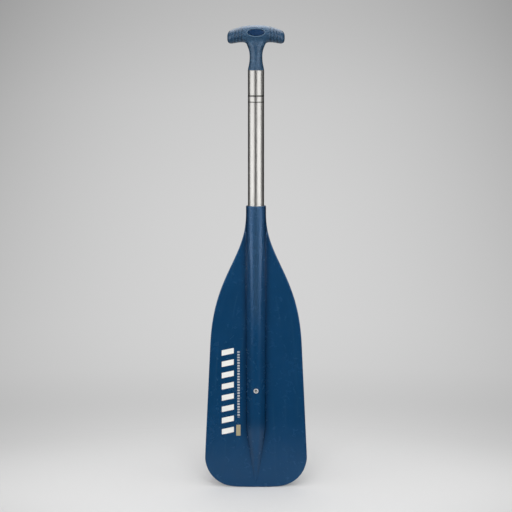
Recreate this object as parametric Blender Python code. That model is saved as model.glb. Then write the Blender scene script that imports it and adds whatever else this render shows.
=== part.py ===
# Canoe paddle: a moulded blade with a raised spine, riveted on an aluminium tube with a T-grip.
# Metres, +Z up the shaft, the blade's tip on z = 0 and the paddle's front towards -Y.

import math

import bmesh
import bpy
from mathutils import Matrix, Vector

# Gap that touching pieces keep, and the distance under which two points are one
GAP = 0.0003
MERGE = 0.000001
SLIVER = 0.0000001

# Whole paddle
OVERALL_LENGTH = 0.9144
GRIP_HEIGHT = 0.0869
JOINT_Z = OVERALL_LENGTH - GRIP_HEIGHT

# Shaft tube: an inch and a quarter, with a wall of a sixteenth
TUBE_DIAMETER = 0.03175
TUBE_WALL = 0.0015
TUBE_FOOT_Z = 0.150
TUBE_RADIUS = TUBE_DIAMETER / 2
TUBE_BORE_RADIUS = TUBE_RADIUS - TUBE_WALL
TUBE_TOP_Z = JOINT_Z - GAP

# Plug in the tube's lower end, and the foam above it
PLUG_FLANGE = 0.002
PLUG_BARREL = 0.014
PLUG_BARREL_FOOT = 0.0005
FOAM_ABOVE_RIVET = 0.030
FOAM_BELOW_GRIP = 0.010

# Blade outline, each height measured up from the tip
BLADE_WIDTH = 0.2026
CORNER_Z = 0.060
SHOULDER_WIDTH = 0.1804
SHOULDER_Z = 0.290
SOCKET_TOP_Z = 0.5626
COLLAR_LENGTH = 0.018
TIP_FLAT = 0.020
TIP_RADIUS = 0.45
CORNER_RADIUS = 0.060
SHOULDER_PULL = 0.537
NECK_PULL = 0.337
NECK_Z = SOCKET_TOP_Z - COLLAR_LENGTH

# Blade thickness: a flat web with a rounded edge
WEB_THICKNESS = 0.0044
EDGE_FLAT = 0.0014
EDGE_ROUND = 0.0020

# Socket and spine
SOCKET_WALL = 0.0035
SOCKET_RIM = 0.0015
CROWN_WALL = 0.0025
CROWN_EASE = 0.0003
FOOT_SPREAD = 0.0008
FOOT_NARROWING = 0.045
ARCH_SLOPE = math.radians(45)
ARCH_SIDE = math.radians(80)
ARCH_CORNER = 0.008
SPINE_FILLET = 0.002
SPINE_END_Z = 0.008
SPINE_TAPER_Z = 0.125
SPINE_NOSE = 0.014
FOOT_TAPER_Z = 0.117
FOOT_MEETING_Z = -0.0076
ARCH_Z = 0.370
ARCH_TO_COLLAR = 0.010
BORE_RADIUS = TUBE_RADIUS + GAP
BORE_FOOT_Z = TUBE_FOOT_Z - PLUG_FLANGE - 2 * GAP
SOCKET_RADIUS = BORE_RADIUS + SOCKET_WALL
CROWN_HEIGHT = BORE_RADIUS + CROWN_WALL
CROWN_RADIUS = BORE_RADIUS + CROWN_EASE
ARCH_FOOT = SOCKET_RADIUS + FOOT_SPREAD

# Rows and columns of the blade's surface
SHOULDER_ROWS = 13
SIDE_ROWS = 6
CORNER_ROWS = 9
BOTTOM_ROWS = 3
ARCH_COLUMNS = 8
ARCH_SPREAD = math.radians(75)
FOOT_REACH = 1.15
ROW_LAG = 1.3

# Columns between the edge and the spine: the middle of the web, the most that the rounded edge
# may take, the column inside that edge, and the most of a narrow row that the spine may take
WEB_COLUMN = 1 / 2
EDGE_LIMIT = 1 / 3
EDGE_COLUMN = 0.3
SPINE_LIMIT = 0.93

# Socket rim, as shares of its height: how far down each ring is, and how far it is drawn in
RIM_RINGS = ((0.0, 1.0), (0.3, 0.3), (1.0, 0.0))

# Steps of the turned pieces, and the angle above which an edge is shaded sharp
ROUND_STEPS = 48
TUBE_STEPS = 64
FOAM_STEPS = 40
HOLE_STEPS = 32
STEM_STEPS = 20
SHARP_ANGLE = math.radians(35)
BLADE_SHARP_ANGLE = math.radians(40)

# Blind rivets
RIVET_Z = 0.1967
GRIP_RIVET_DROP = 0.020
RIVET_SHANK_RADIUS = 0.0024
RIVET_FLANGE_RADIUS = 0.0048
RIVET_FLANGE = 0.0014
RIVET_RIM = 0.0005
RIVET_BULB_RADIUS = 0.0037
RIVET_BULB = 0.0045
STEM_RADIUS = 0.0013
STEM_HEAD_RADIUS = 0.0023
STEM_HEAD = 0.0026
STEM_RECESS = 0.0006
SPOT_RADIUS = 0.0065
SPOT_DEPTH = 0.00145

# Shares that shape the rivets: two bends of the flange's dome, the stem's head and its broken end
FLANGE_SHOULDER = 0.7
FLANGE_CROWN = 0.3
HEAD_TIP = 0.7
HEAD_TIP_DROP = 0.8
HEAD_SIDE_DROP = 0.4
STEM_BREAK = 0.6

# Grip: a T whose neck stands on the tube and whose spigot reaches into it
GRIP_WIDTH = 0.1115
GRIP_DEPTH = 0.0300
SPIGOT_LENGTH = 0.045
SPIGOT_WALL = 0.0032
SPIGOT_OVERLAP = 0.006
SPIGOT_RADIUS = TUBE_BORE_RADIUS - GAP
SPIGOT_BORE_RADIUS = SPIGOT_RADIUS - SPIGOT_WALL

# Rings of the arms by the middle: distance out, drop of the centre, half-height, share of the depth
MIDDLE_RINGS = (
    (0.0000, 0.0168, 0.0172, 1.04),
    (0.0190, 0.0172, 0.0166, 1.02),
    (0.0310, 0.0184, 0.0148, 0.98),
)

# Rings by the arm's end: distance in from the end, then the same
END_RINGS = (
    (0.0130, 0.0213, 0.0142, 0.94),
    (0.0045, 0.0238, 0.0130, 0.84),
    (0.0000, 0.0243, 0.0076, 0.50),
)

# Rings of the neck: share of the neck's length above the joint, half-width, half-depth
NECK_LENGTH = GRIP_HEIGHT - MIDDLE_RINGS[0][1] - MIDDLE_RINGS[0][2]
NECK_DRAW = 0.0008
NECK_RINGS = (
    (0.8885, 0.0173, 0.0155),
    (0.7372, 0.0135, 0.0140),
    (0.5104, 0.0119, 0.0122),
    (0.2457, 0.0130, 0.0130),
    (0.0851, TUBE_RADIUS - NECK_DRAW, TUBE_RADIUS - NECK_DRAW),
    (0.0000, TUBE_RADIUS, TUBE_RADIUS),
)

# Oval recess on the grip's front, and the blank plate in it
OVAL_WIDTH = 0.0332
OVAL_HEIGHT = 0.0141
OVAL_BELOW_TOP = 0.0140
OVAL_DEPTH = 0.0046
PLATE_THICKNESS = 0.0012

# A ring of eight control points rounds to this share of its radius
EIGHT_POINT_SHARE = (4 + 2 * math.cos(math.pi / 4)) / 6
EIGHT = ((1, 0), (1, 1), (0, 1), (-1, 1), (-1, 0), (-1, -1), (0, -1), (1, -1))

# Each finish: colour, roughness, metallic
BLADE_PLASTIC = ((0.008, 0.036, 0.105), 0.42, 0.0)
GRIP_PLASTIC = ((0.018, 0.048, 0.098), 0.55, 0.0)
PLATE_PLASTIC = ((0.006, 0.040, 0.130), 0.30, 0.0)
PLUG_PLASTIC = ((0.020, 0.020, 0.022), 0.55, 0.0)
FOAM = ((0.80, 0.80, 0.77), 0.90, 0.0)
TUBE_ALUMINIUM = ((0.60, 0.59, 0.57), 0.34, 1.0)
RIVET_METAL = ((0.70, 0.70, 0.69), 0.32, 1.0)
STEM_METAL = ((0.42, 0.42, 0.42), 0.40, 1.0)


# Scene and materials


def clear_scene():
    for obj in list(bpy.data.objects):
        bpy.data.objects.remove(obj)


def material(name, finish):
    colour, roughness, metallic = finish
    made = bpy.data.materials.new(name)
    made.use_nodes = True
    shader = made.node_tree.nodes["Principled BSDF"]
    shader.inputs["Base Color"].default_value = (*colour, 1.0)
    shader.inputs["Roughness"].default_value = roughness
    shader.inputs["Metallic"].default_value = metallic
    return made


def finished(name, bm, finish, sharp=SHARP_ANGLE):
    """An object from a bmesh, its faces turned outwards and shaded smooth up to the sharp angle."""
    bmesh.ops.recalc_face_normals(bm, faces=bm.faces[:])
    mesh = bpy.data.meshes.new(name)
    bm.to_mesh(mesh)
    bm.free()
    mesh.shade_smooth()
    mesh.set_sharp_from_angle(angle=sharp)
    if finish:
        mesh.materials.append(finish)
    obj = bpy.data.objects.new(name, mesh)
    bpy.context.scene.collection.objects.link(obj)
    return obj


# Turned shapes and cuts


def turned(name, profile, finish, steps=ROUND_STEPS, place=None):
    """A closed profile of (radius, height) points, spun once round the Z axis, then placed."""
    bm = bmesh.new()
    points = [bm.verts.new((radius, 0.0, height)) for radius, height in profile]
    edges = [bm.edges.new(pair) for pair in zip(points, points[1:] + points[:1])]
    bmesh.ops.spin(
        bm,
        geom=points + edges,
        axis=(0, 0, 1),
        cent=(0, 0, 0),
        angle=math.tau,
        steps=steps,
        use_merge=True,
    )
    bmesh.ops.remove_doubles(bm, verts=bm.verts[:], dist=MERGE)
    bmesh.ops.dissolve_degenerate(bm, edges=bm.edges[:], dist=SLIVER)
    if place:
        bmesh.ops.transform(bm, matrix=place, verts=bm.verts[:])
    return finished(name, bm, finish)


def rod_profile(radius, low, high):
    return [(0, low), (radius, low), (radius, high), (0, high)]


def ring_profile(inner, outer, low, high):
    return [(inner, low), (outer, low), (outer, high), (inner, high)]


def helper(obj):
    obj.hide_render = True
    obj.display_type = "WIRE"
    return obj


def boolean(target, other, operation):
    modifier = target.modifiers.new(f"{operation.lower()} {other.name}", "BOOLEAN")
    modifier.object = helper(other)
    modifier.operation = operation
    modifier.solver = "EXACT"


def aimed(direction, height):
    """The matrix that turns +Z to point along the direction, at that height on the shaft's axis."""
    turn = Vector((0, 0, 1)).rotation_difference(Vector(direction)).to_matrix().to_4x4()
    return Matrix.Translation((0, 0, height)) @ turn


def radial_hole(target, name, radius, direction, height, near, far):
    profile = rod_profile(radius, near, far)
    hole = turned(name, profile, None, HOLE_STEPS, aimed(direction, height))
    boolean(target, hole, "DIFFERENCE")


# Blade: its surface is a height above the middle plane, over the outline


def ease(value):
    held = min(max(value, 0.0), 1.0)
    return held * held * (3 - 2 * held)


def mix(low, high, share):
    return low + (high - low) * share


def spine_taper(z):
    """1 along the full spine, falling to 0 at its point near the tip."""
    return min(max((z - SPINE_END_Z) / (SPINE_TAPER_Z - SPINE_END_Z), 0.0), 1.0)


def foot_taper(z):
    """Share of the foot's full width: slowly narrower down the spine, then a wedge with a round nose."""
    down = min(max((ARCH_Z - z) / (ARCH_Z - FOOT_TAPER_Z), 0.0), 1.0)
    wedge = min(max((z - FOOT_MEETING_Z) / (FOOT_TAPER_Z - FOOT_MEETING_Z), 0.0), 1.0)
    return (1 - FOOT_NARROWING * down) * wedge * ease((z - SPINE_END_Z) / SPINE_NOSE)


def spine_section(z):
    """Half-width of the spine's foot at height z, and how round its section is, from arch to socket."""
    roundness = ease((z - ARCH_Z) / (NECK_Z - ARCH_TO_COLLAR - ARCH_Z))
    return mix(ARCH_FOOT, SOCKET_RADIUS, roundness) * foot_taper(z), roundness


def arch_height(x):
    """Height of the arch: its crown's arc, a sloping shoulder, a round corner and a steep side."""
    slope, side = math.tan(ARCH_SLOPE), math.tan(ARCH_SIDE)
    crown_x = CROWN_RADIUS * math.sin(ARCH_SLOPE)
    crown_height = CROWN_HEIGHT - CROWN_RADIUS * (1 - math.cos(ARCH_SLOPE))
    reach = ARCH_CORNER * (math.sin(ARCH_SIDE) - math.sin(ARCH_SLOPE))
    drop = ARCH_CORNER * (math.cos(ARCH_SLOPE) - math.cos(ARCH_SIDE))
    level = crown_height + slope * crown_x
    corner_x = (ARCH_FOOT - reach - (level - drop) / side) / (1 - slope / side)
    if x <= crown_x:
        return CROWN_HEIGHT - CROWN_RADIUS + math.sqrt(CROWN_RADIUS**2 - x * x)
    if x <= corner_x:
        return level - slope * x
    if x >= corner_x + reach:
        return max(ARCH_FOOT - x, 0.0) * side
    along = x - corner_x + ARCH_CORNER * math.sin(ARCH_SLOPE)
    centre = level - slope * corner_x - ARCH_CORNER * math.cos(ARCH_SLOPE)
    return centre + math.sqrt(ARCH_CORNER**2 - along**2)


def spine_height(x, z):
    """Height of the spine: the arch, turning into the round socket and tapering off by the tip."""
    foot, roundness = spine_section(z)
    if x >= foot:
        return 0.0
    share = x / foot
    height = mix(arch_height(share * ARCH_FOOT), SOCKET_RADIUS * math.sqrt(1 - share**2), roundness)
    return mix(WEB_THICKNESS / 2, height, spine_taper(z))


def web_height(depth):
    """Height of the flat web, rounded off within EDGE_ROUND of the outline."""
    inside = 1 - min(depth / EDGE_ROUND, 1.0)
    return mix(EDGE_FLAT, WEB_THICKNESS, math.sqrt(1 - inside * inside)) / 2


def blended(high, low, fillet):
    """The greater height, with the corner between the two filled in."""
    reach = max(fillet - abs(high - low), 0.0)
    return max(high, low) + (reach * reach / (4 * fillet) if fillet > 0 else 0.0)


def blade_height(x, z, depth, half_width):
    foot = spine_section(z)[0]
    room = ease((half_width - foot) / SPINE_FILLET)
    edge = ease(depth / EDGE_ROUND)
    fillet = SPINE_FILLET * spine_taper(z) * room * edge
    return blended(spine_height(x, z), web_height(depth), fillet)


def side_corner():
    """Start of the straight side at the shoulder, its direction downwards, and the corner's centre."""
    top = Vector((SHOULDER_WIDTH / 2, SHOULDER_Z))
    run = (Vector((BLADE_WIDTH / 2, CORNER_Z)) - top).normalized()
    inward = Vector((run.y, -run.x))
    start = top + inward * CORNER_RADIUS - Vector((TIP_FLAT / 2, TIP_RADIUS))
    along = start.dot(run)
    reach = TIP_RADIUS - CORNER_RADIUS
    centre = start + run * (math.sqrt(along**2 - start.length_squared + reach**2) - along)
    return top, run, inward, centre + Vector((TIP_FLAT / 2, TIP_RADIUS))


def cubic(points, t):
    """Point and direction on a cubic curve with these four control points."""
    a, b, c, d = points
    s = 1 - t
    place = a * s**3 + b * 3 * s * s * t + c * 3 * s * t * t + d * t**3
    heading = (b - a) * s * s + (c - b) * 2 * s * t + (d - c) * t * t
    return place, heading.normalized()


def outline_rows():
    """Points of the right-hand outline from the neck down to the tip, each with its inward direction."""
    top, run, inward, centre = side_corner()
    neck = Vector((SOCKET_RADIUS, NECK_Z))
    drop = NECK_Z - SHOULDER_Z
    shoulder = (
        neck,
        neck - Vector((0, drop * NECK_PULL)),
        top - run * drop * SHOULDER_PULL,
        top,
    )
    rows = []
    for step in range(SHOULDER_ROWS):
        place, heading = cubic(shoulder, step / SHOULDER_ROWS)
        rows.append((place, Vector((heading.y, -heading.x))))
    corner_start = centre - inward * CORNER_RADIUS
    for step in range(SIDE_ROWS):
        rows.append((top.lerp(corner_start, step / SIDE_ROWS), inward))
    tip_centre = Vector((TIP_FLAT / 2, TIP_RADIUS))
    corner_end = (centre - tip_centre).normalized()
    sweep = (-inward).angle_signed(corner_end)
    for step in range(CORNER_ROWS):
        out = -inward.copy()
        out.rotate(Matrix.Rotation(-sweep * step / CORNER_ROWS, 2))
        rows.append((centre + out * CORNER_RADIUS, -out))
    sweep = corner_end.angle_signed(Vector((0, -1)))
    for step in range(BOTTOM_ROWS + 1):
        out = corner_end.copy()
        out.rotate(Matrix.Rotation(-sweep * step / BOTTOM_ROWS, 2))
        rows.append((tip_centre + out * TIP_RADIUS, -out))
    rows.append((Vector((0, 0)), Vector((0, 1))))
    return rows


def crease_heights(rows):
    """Height on the spine that each row runs to, which falls from the shoulder to the spine's point."""
    lengths = [0.0]
    for (low, _), (high, _) in zip(rows[::-1], rows[-2::-1]):
        lengths.append(lengths[-1] + (high - low).length)
    lengths.reverse()
    full = lengths[SHOULDER_ROWS]
    for (place, _), length in zip(rows, lengths):
        share = (length / full) ** ROW_LAG
        yield place.y if length >= full else mix(SPINE_END_Z, SHOULDER_Z, share)


def half_row(edge, inward, crease_z):
    """Points (x, z, height) from the crown out to the outline, for one row."""
    foot = spine_section(crease_z)[0]
    inner = Vector((min(FOOT_REACH * foot, SPINE_LIMIT * max(edge.x, foot)), crease_z))
    points = []
    for column in range(ARCH_COLUMNS + 1):
        share = math.sin(ARCH_SPREAD * column / ARCH_COLUMNS) / math.sin(ARCH_SPREAD)
        points.append((Vector((inner.x * share, crease_z)), None))
    line = inner - edge
    room = line.dot(inward)
    rounded = min(EDGE_ROUND, room * EDGE_LIMIT)
    for depth in (room * WEB_COLUMN, rounded, rounded * EDGE_COLUMN, 0.0):
        points.append((edge + line * (depth / room), depth))
    half = []
    for place, depth in points:
        depth = room if depth is None else depth
        half.append((place.x, place.y, blade_height(place.x, place.y, depth, edge.x)))
    return half


def full_row(bm, half, scale=1.0):
    """A closed ring of points: across the front, then back across the rear."""
    across = [(-x, z, y) for x, z, y in half[:0:-1]] + half
    front = [bm.verts.new((x * scale, -y * scale, z)) for x, z, y in across]
    rear = [bm.verts.new((x * scale, y * scale, z)) for x, z, y in across]
    return front + rear[::-1]


def skin(bm, rings):
    for upper, lower in zip(rings, rings[1:]):
        for i, point in enumerate(upper):
            bm.faces.new((point, upper[i - 1], lower[i - 1], lower[i]))


def blade(finish):
    bm = bmesh.new()
    rows = outline_rows()
    halves = [
        half_row(edge, inward, z) for (edge, inward), z in zip(rows, crease_heights(rows))
    ]
    rings = []
    for drop, inset in RIM_RINGS:
        shrink = 1 - SOCKET_RIM * inset / SOCKET_RADIUS
        rim = [(x, SOCKET_TOP_Z - SOCKET_RIM * drop, y) for x, _, y in halves[0]]
        rings.append(full_row(bm, rim, shrink))
    rings += [full_row(bm, half) for half in halves]
    skin(bm, rings)
    bm.faces.new(rings[0])
    bmesh.ops.remove_doubles(bm, verts=bm.verts[:], dist=MERGE)
    made = finished("blade", bm, finish, BLADE_SHARP_ANGLE)
    bore = turned(
        "blade_bore", rod_profile(BORE_RADIUS, BORE_FOOT_Z, SOCKET_TOP_Z + SOCKET_RIM), None
    )
    boolean(made, bore, "DIFFERENCE")
    front = (0, -1, 0)
    seat = CROWN_HEIGHT - SPOT_DEPTH
    radial_hole(made, "rivet_spot_face", SPOT_RADIUS, front, RIVET_Z, seat, 2 * CROWN_HEIGHT)
    hole = RIVET_SHANK_RADIUS + GAP
    radial_hole(made, "blade_rivet_hole", hole, front, RIVET_Z, 0, CROWN_HEIGHT)


# Shaft tube and what is sealed in it


def shaft_tube(finish):
    profile = ring_profile(TUBE_BORE_RADIUS, TUBE_RADIUS, TUBE_FOOT_Z, TUBE_TOP_Z)
    made = turned("shaft_tube", profile, finish, TUBE_STEPS)
    hole = RIVET_SHANK_RADIUS + GAP
    front, rear = (0, -1, 0), (0, 1, 0)
    radial_hole(made, "tube_front_hole", hole, front, RIVET_Z, 0, 2 * TUBE_RADIUS)
    grip_rivet_z = JOINT_Z - GRIP_RIVET_DROP
    radial_hole(made, "tube_rear_hole", hole, rear, grip_rivet_z, 0, 2 * TUBE_RADIUS)


def shaft_plug(finish):
    barrel = TUBE_BORE_RADIUS - GAP
    top = TUBE_FOOT_Z - GAP
    profile = [
        (0, top - PLUG_FLANGE),
        (TUBE_RADIUS, top - PLUG_FLANGE),
        (TUBE_RADIUS, top),
        (barrel, top),
        (barrel, top + PLUG_BARREL),
        (barrel - PLUG_BARREL_FOOT, top + PLUG_BARREL + PLUG_BARREL_FOOT),
        (0, top + PLUG_BARREL + PLUG_BARREL_FOOT),
    ]
    turned("shaft_plug", profile, finish)


def foam_core(finish):
    low = RIVET_Z + FOAM_ABOVE_RIVET
    high = JOINT_Z - SPIGOT_LENGTH - FOAM_BELOW_GRIP
    turned("foam_core", rod_profile(TUBE_BORE_RADIUS - GAP, low, high), finish, FOAM_STEPS)


# Blind rivets


def rivet(name, direction, height, seat, blind, finishes):
    """A set blind rivet and its stem: the flange outside the seat, the bulb inside the blind wall."""
    metal, stem_metal = finishes
    hole = STEM_RADIUS + GAP
    under = seat + GAP
    top = under + RIVET_FLANGE
    bulb_end = blind - RIVET_BULB
    body = [
        (hole, bulb_end),
        (RIVET_BULB_RADIUS - RIVET_RIM, bulb_end),
        (RIVET_BULB_RADIUS, bulb_end + RIVET_RIM),
        (RIVET_BULB_RADIUS, blind - RIVET_RIM),
        (RIVET_SHANK_RADIUS, blind),
        (RIVET_SHANK_RADIUS, under),
        (RIVET_FLANGE_RADIUS, under),
        (RIVET_FLANGE_RADIUS, under + RIVET_RIM),
        (mix(hole, RIVET_FLANGE_RADIUS, FLANGE_SHOULDER), top - RIVET_RIM / 2),
        (mix(hole, RIVET_FLANGE_RADIUS, FLANGE_CROWN), top),
        (hole, top),
    ]
    place = aimed(direction, height)
    turned(name, body, metal, HOLE_STEPS, place)
    head = bulb_end - GAP
    stem = [
        (0, head - STEM_HEAD),
        (STEM_HEAD_RADIUS * HEAD_TIP, head - STEM_HEAD * HEAD_TIP_DROP),
        (STEM_HEAD_RADIUS, head - STEM_HEAD * HEAD_SIDE_DROP),
        (STEM_HEAD_RADIUS, head),
        (STEM_RADIUS, head),
        (STEM_RADIUS, top - STEM_RECESS - RIVET_RIM / 2),
        (STEM_RADIUS * STEM_BREAK, top - STEM_RECESS),
        (0, top - STEM_RECESS),
    ]
    turned(f"{name}_stem", stem, stem_metal, STEM_STEPS, place)


def blind_side(bore):
    """Where a bulb's rim clears the curved wall of a bore."""
    return math.sqrt(bore * bore - RIVET_BULB_RADIUS**2) - GAP


def rivets(finishes):
    seat = CROWN_HEIGHT - SPOT_DEPTH
    blind = blind_side(TUBE_BORE_RADIUS)
    rivet("blade_rivet", (0, -1, 0), RIVET_Z, seat, blind, finishes)
    height = JOINT_Z - GRIP_RIVET_DROP
    rivet(
        "grip_rivet", (0, 1, 0), height, TUBE_RADIUS, blind_side(SPIGOT_BORE_RADIUS), finishes
    )


# Grip: a cage of eight-point rings, smoothed by subdivision


def arm_rings():
    """All rings of an arm, from the middle of the T outwards, each with its distance out."""
    end = GRIP_WIDTH / 2
    return MIDDLE_RINGS + tuple((end - inset, *rest) for inset, *rest in END_RINGS)


def arm_ring(bm, side, x, drop, half_height, depth_share):
    """Ring of eight points across an arm. The square corners are drawn in to a circle."""
    ring = []
    for along_y, along_z in EIGHT:
        scale = 1 / EIGHT_POINT_SHARE / math.hypot(along_y, along_z)
        y = along_y * GRIP_DEPTH / 2 * depth_share * scale
        z = OVERALL_LENGTH - drop + along_z * half_height * scale
        ring.append(bm.verts.new((side * x, y, z)))
    return ring


def neck_ring(bm, share, half_width, half_depth):
    ring = []
    for along_x, along_y in EIGHT:
        scale = 1 / EIGHT_POINT_SHARE / math.hypot(along_x, along_y)
        x = along_x * half_width * scale
        y = along_y * half_depth * scale
        ring.append(bm.verts.new((x, y, JOINT_Z + NECK_LENGTH * share)))
    return ring


def cap(bm, ring):
    """Closes an eight-point ring with four quads round a middle point."""
    middle = bm.verts.new(sum((point.co for point in ring), Vector()) / len(ring))
    for corner in range(1, len(ring), 2):
        after = ring[(corner + 1) % len(ring)]
        bm.faces.new((ring[corner - 1], ring[corner], after, middle))


def grip_cage(bm):
    arms = {}
    for side in (-1, 1):
        rings = [arm_ring(bm, side, *ring) for ring in arm_rings()[1:]]
        arms[side] = rings
        skin(bm, rings)
        cap(bm, rings[-1])
    middle = arm_ring(bm, 1, *arm_rings()[0])
    below = EIGHT.index((0, -1))
    bm.verts.remove(middle[below])
    for side in (-1, 1):
        outer = arms[side][0]
        for i in range(8):
            if below in (i, (i - 1) % 8):
                continue
            bm.faces.new((outer[i], outer[i - 1], middle[i - 1], middle[i]))
    rim = {}
    for side in (-1, 1):
        for i in (below - 1, below, below + 1):
            rim[(side, EIGHT[i][0])] = arms[side][0][i]
    rim[(0, 1)] = middle[below + 1]
    rim[(0, -1)] = middle[below - 1]
    top_ring = [rim[place] for place in EIGHT]
    rings = [neck_ring(bm, *ring) for ring in NECK_RINGS]
    skin(bm, [top_ring, *rings])
    cap(bm, rings[-1])
    crease = bm.edges.layers.float.new("crease_edge")
    foot = set(rings[-1])
    for edge in bm.edges:
        if edge.verts[0] in foot and edge.verts[1] in foot:
            edge[crease] = 1.0


def grip(finish):
    bm = bmesh.new()
    grip_cage(bm)
    made = finished("grip", bm, finish)
    smooth = made.modifiers.new("rounding", "SUBSURF")
    smooth.levels = 2
    smooth.render_levels = 2
    low = JOINT_Z - SPIGOT_LENGTH
    spigot = turned(
        "grip_spigot", rod_profile(SPIGOT_RADIUS, low, JOINT_Z + SPIGOT_OVERLAP), None
    )
    boolean(made, spigot, "UNION")
    cavity = turned(
        "spigot_cavity", rod_profile(SPIGOT_BORE_RADIUS, low - GAP, JOINT_Z - TUBE_WALL), None
    )
    boolean(made, cavity, "DIFFERENCE")
    hole = RIVET_SHANK_RADIUS + GAP
    height = JOINT_Z - GRIP_RIVET_DROP
    radial_hole(made, "spigot_rivet_hole", hole, (0, 1, 0), height, 0, 2 * TUBE_RADIUS)
    floor = GRIP_DEPTH / 2 - OVAL_DEPTH
    boolean(made, oval("grip_recess", 0.0, floor, GRIP_DEPTH, None), "DIFFERENCE")


def oval(name, inset, near, far, finish):
    """Oval disc on the grip's front, between two distances from the middle plane."""
    bm = bmesh.new()
    place = Matrix.Translation((0, 0, OVERALL_LENGTH - OVAL_BELOW_TOP)) @ Matrix.Diagonal(
        (OVAL_WIDTH / 2 - inset, 1, OVAL_HEIGHT / 2 - inset, 1)
    )
    turn = Matrix.Rotation(math.pi / 2, 4, "X")
    bmesh.ops.create_circle(
        bm, cap_ends=True, radius=1, segments=ROUND_STEPS, matrix=place @ turn
    )
    bmesh.ops.translate(bm, vec=(0, -near, 0), verts=bm.verts[:])
    out = bmesh.ops.extrude_face_region(bm, geom=bm.faces[:])["geom"]
    moved = [item for item in out if isinstance(item, bmesh.types.BMVert)]
    bmesh.ops.translate(bm, vec=(0, near - far, 0), verts=moved)
    return finished(name, bm, finish)


def grip_plate(finish):
    back = GRIP_DEPTH / 2 - OVAL_DEPTH + GAP
    oval("grip_plate", GAP, back, back + PLATE_THICKNESS, finish)


clear_scene()
blade(material("blade_plastic", BLADE_PLASTIC))
shaft_tube(material("tube_aluminium", TUBE_ALUMINIUM))
shaft_plug(material("plug_plastic", PLUG_PLASTIC))
foam_core(material("foam", FOAM))
grip(material("grip_plastic", GRIP_PLASTIC))
grip_plate(material("plate_plastic", PLATE_PLASTIC))
rivets((material("rivet_metal", RIVET_METAL), material("stem_metal", STEM_METAL)))
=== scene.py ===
# %% [markdown]
# # A canoe paddle
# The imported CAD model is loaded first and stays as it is: it says where every part of the paddle
# lies. The pieces below stand in its places with finer surfaces, then get their finishes, the
# studio and the camera.

# %% Load the CAD model
import math

import bmesh
import bpy
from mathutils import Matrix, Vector


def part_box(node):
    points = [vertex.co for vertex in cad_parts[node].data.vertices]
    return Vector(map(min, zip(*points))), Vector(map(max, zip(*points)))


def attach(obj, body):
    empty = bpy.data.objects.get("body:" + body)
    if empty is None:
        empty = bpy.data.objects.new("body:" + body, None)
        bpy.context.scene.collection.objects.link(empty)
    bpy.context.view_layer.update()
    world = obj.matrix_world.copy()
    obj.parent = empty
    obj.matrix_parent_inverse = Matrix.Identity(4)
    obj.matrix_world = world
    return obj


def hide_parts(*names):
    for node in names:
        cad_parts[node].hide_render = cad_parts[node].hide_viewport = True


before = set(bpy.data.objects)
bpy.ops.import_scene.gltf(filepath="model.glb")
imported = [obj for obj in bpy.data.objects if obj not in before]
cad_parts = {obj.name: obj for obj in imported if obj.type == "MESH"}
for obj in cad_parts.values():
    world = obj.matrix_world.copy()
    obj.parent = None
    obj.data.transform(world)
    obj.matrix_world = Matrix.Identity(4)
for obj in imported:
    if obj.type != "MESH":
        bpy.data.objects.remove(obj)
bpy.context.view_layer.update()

print("CAD nodes:", ", ".join(sorted(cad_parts)))

# %% [markdown]
# ## Hand tools
# Blender's operators act on whatever is selected, so most of modelling by script is selecting.
# These few helpers name or select one object, enter edit mode, pick points, edges or faces by a
# test, extrude, and apply a modifier at once, as a person would with the mouse. Two places are
# the same when they are closer than TOUCH, and a face looks along an axis if that part of its
# normal is over FACING.

# %% Selecting and editing
TOUCH = 0.00001
FACING = 0.9


def named(name):
    """Names the object that was just added, and returns it."""
    piece = bpy.context.object
    piece.name = name
    return piece


def only(piece):
    """Selects this one object and makes it the active one."""
    bpy.ops.object.select_all(action="DESELECT")
    piece.select_set(True)
    bpy.context.view_layer.objects.active = piece


def edit(piece, mode="FACE", everything=False):
    """Enters edit mode with nothing selected, or everything."""
    only(piece)
    bpy.ops.object.mode_set(mode="EDIT")
    bpy.ops.mesh.select_mode(type=mode)
    bpy.ops.mesh.select_all(action="SELECT" if everything else "DESELECT")


def leave():
    bpy.ops.object.mode_set(mode="OBJECT")


def pick(piece, kind, test):
    """In edit mode, selects just the verts, edges or faces that pass the test."""
    bpy.ops.mesh.select_all(action="DESELECT")
    mesh = bmesh.from_edit_mesh(piece.data)
    chosen = [item for item in getattr(mesh, kind) if test(item)]
    for item in chosen:
        item.select_set(True)
    mesh.select_flush_mode()
    bmesh.update_edit_mesh(piece.data)
    return len(chosen)


def pull(x, y, z):
    """Extrudes the selection and moves the new part by this much."""
    bpy.ops.mesh.extrude_region_move(TRANSFORM_OT_translate={"value": (x, y, z)})


def modify(piece, kind, **settings):
    """Adds a modifier with these settings and applies it."""
    only(piece)
    modifier = piece.modifiers.new(kind.lower(), kind)
    for name, value in settings.items():
        setattr(modifier, name, value)
    bpy.ops.object.modifier_apply(modifier=modifier.name)


def settle(piece):
    """Moves the object's place, turn and size into its mesh."""
    only(piece)
    bpy.ops.object.transform_apply(location=True, rotation=True, scale=True)


def smooth(piece, degrees=35):
    only(piece)
    bpy.ops.object.shade_smooth_by_angle(angle=math.radians(degrees))


def tidy_surface(piece):
    """Merges doubles and turns every face outwards."""
    edit(piece, "VERT", everything=True)
    bpy.ops.mesh.remove_doubles(threshold=0.000001)
    bpy.ops.mesh.normals_make_consistent(inside=False)
    leave()


def adopt(piece, slot, *nodes):
    """The piece rides on the paddle and stands for those CAD nodes. The slot is not used."""
    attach(piece, "root")
    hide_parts(*nodes)
    mesh = piece.data
    mesh.calc_loop_triangles()
    print(f"{piece.name}: {len(mesh.vertices)} points, {len(mesh.loop_triangles)} triangles")


# %% [markdown]
# ## Sizes
# A piece that stands for a CAD node keeps that node's place, so the main heights and radii are
# read from the CAD model. The rest are the same driving sizes that the CAD model was drawn with.

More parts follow.
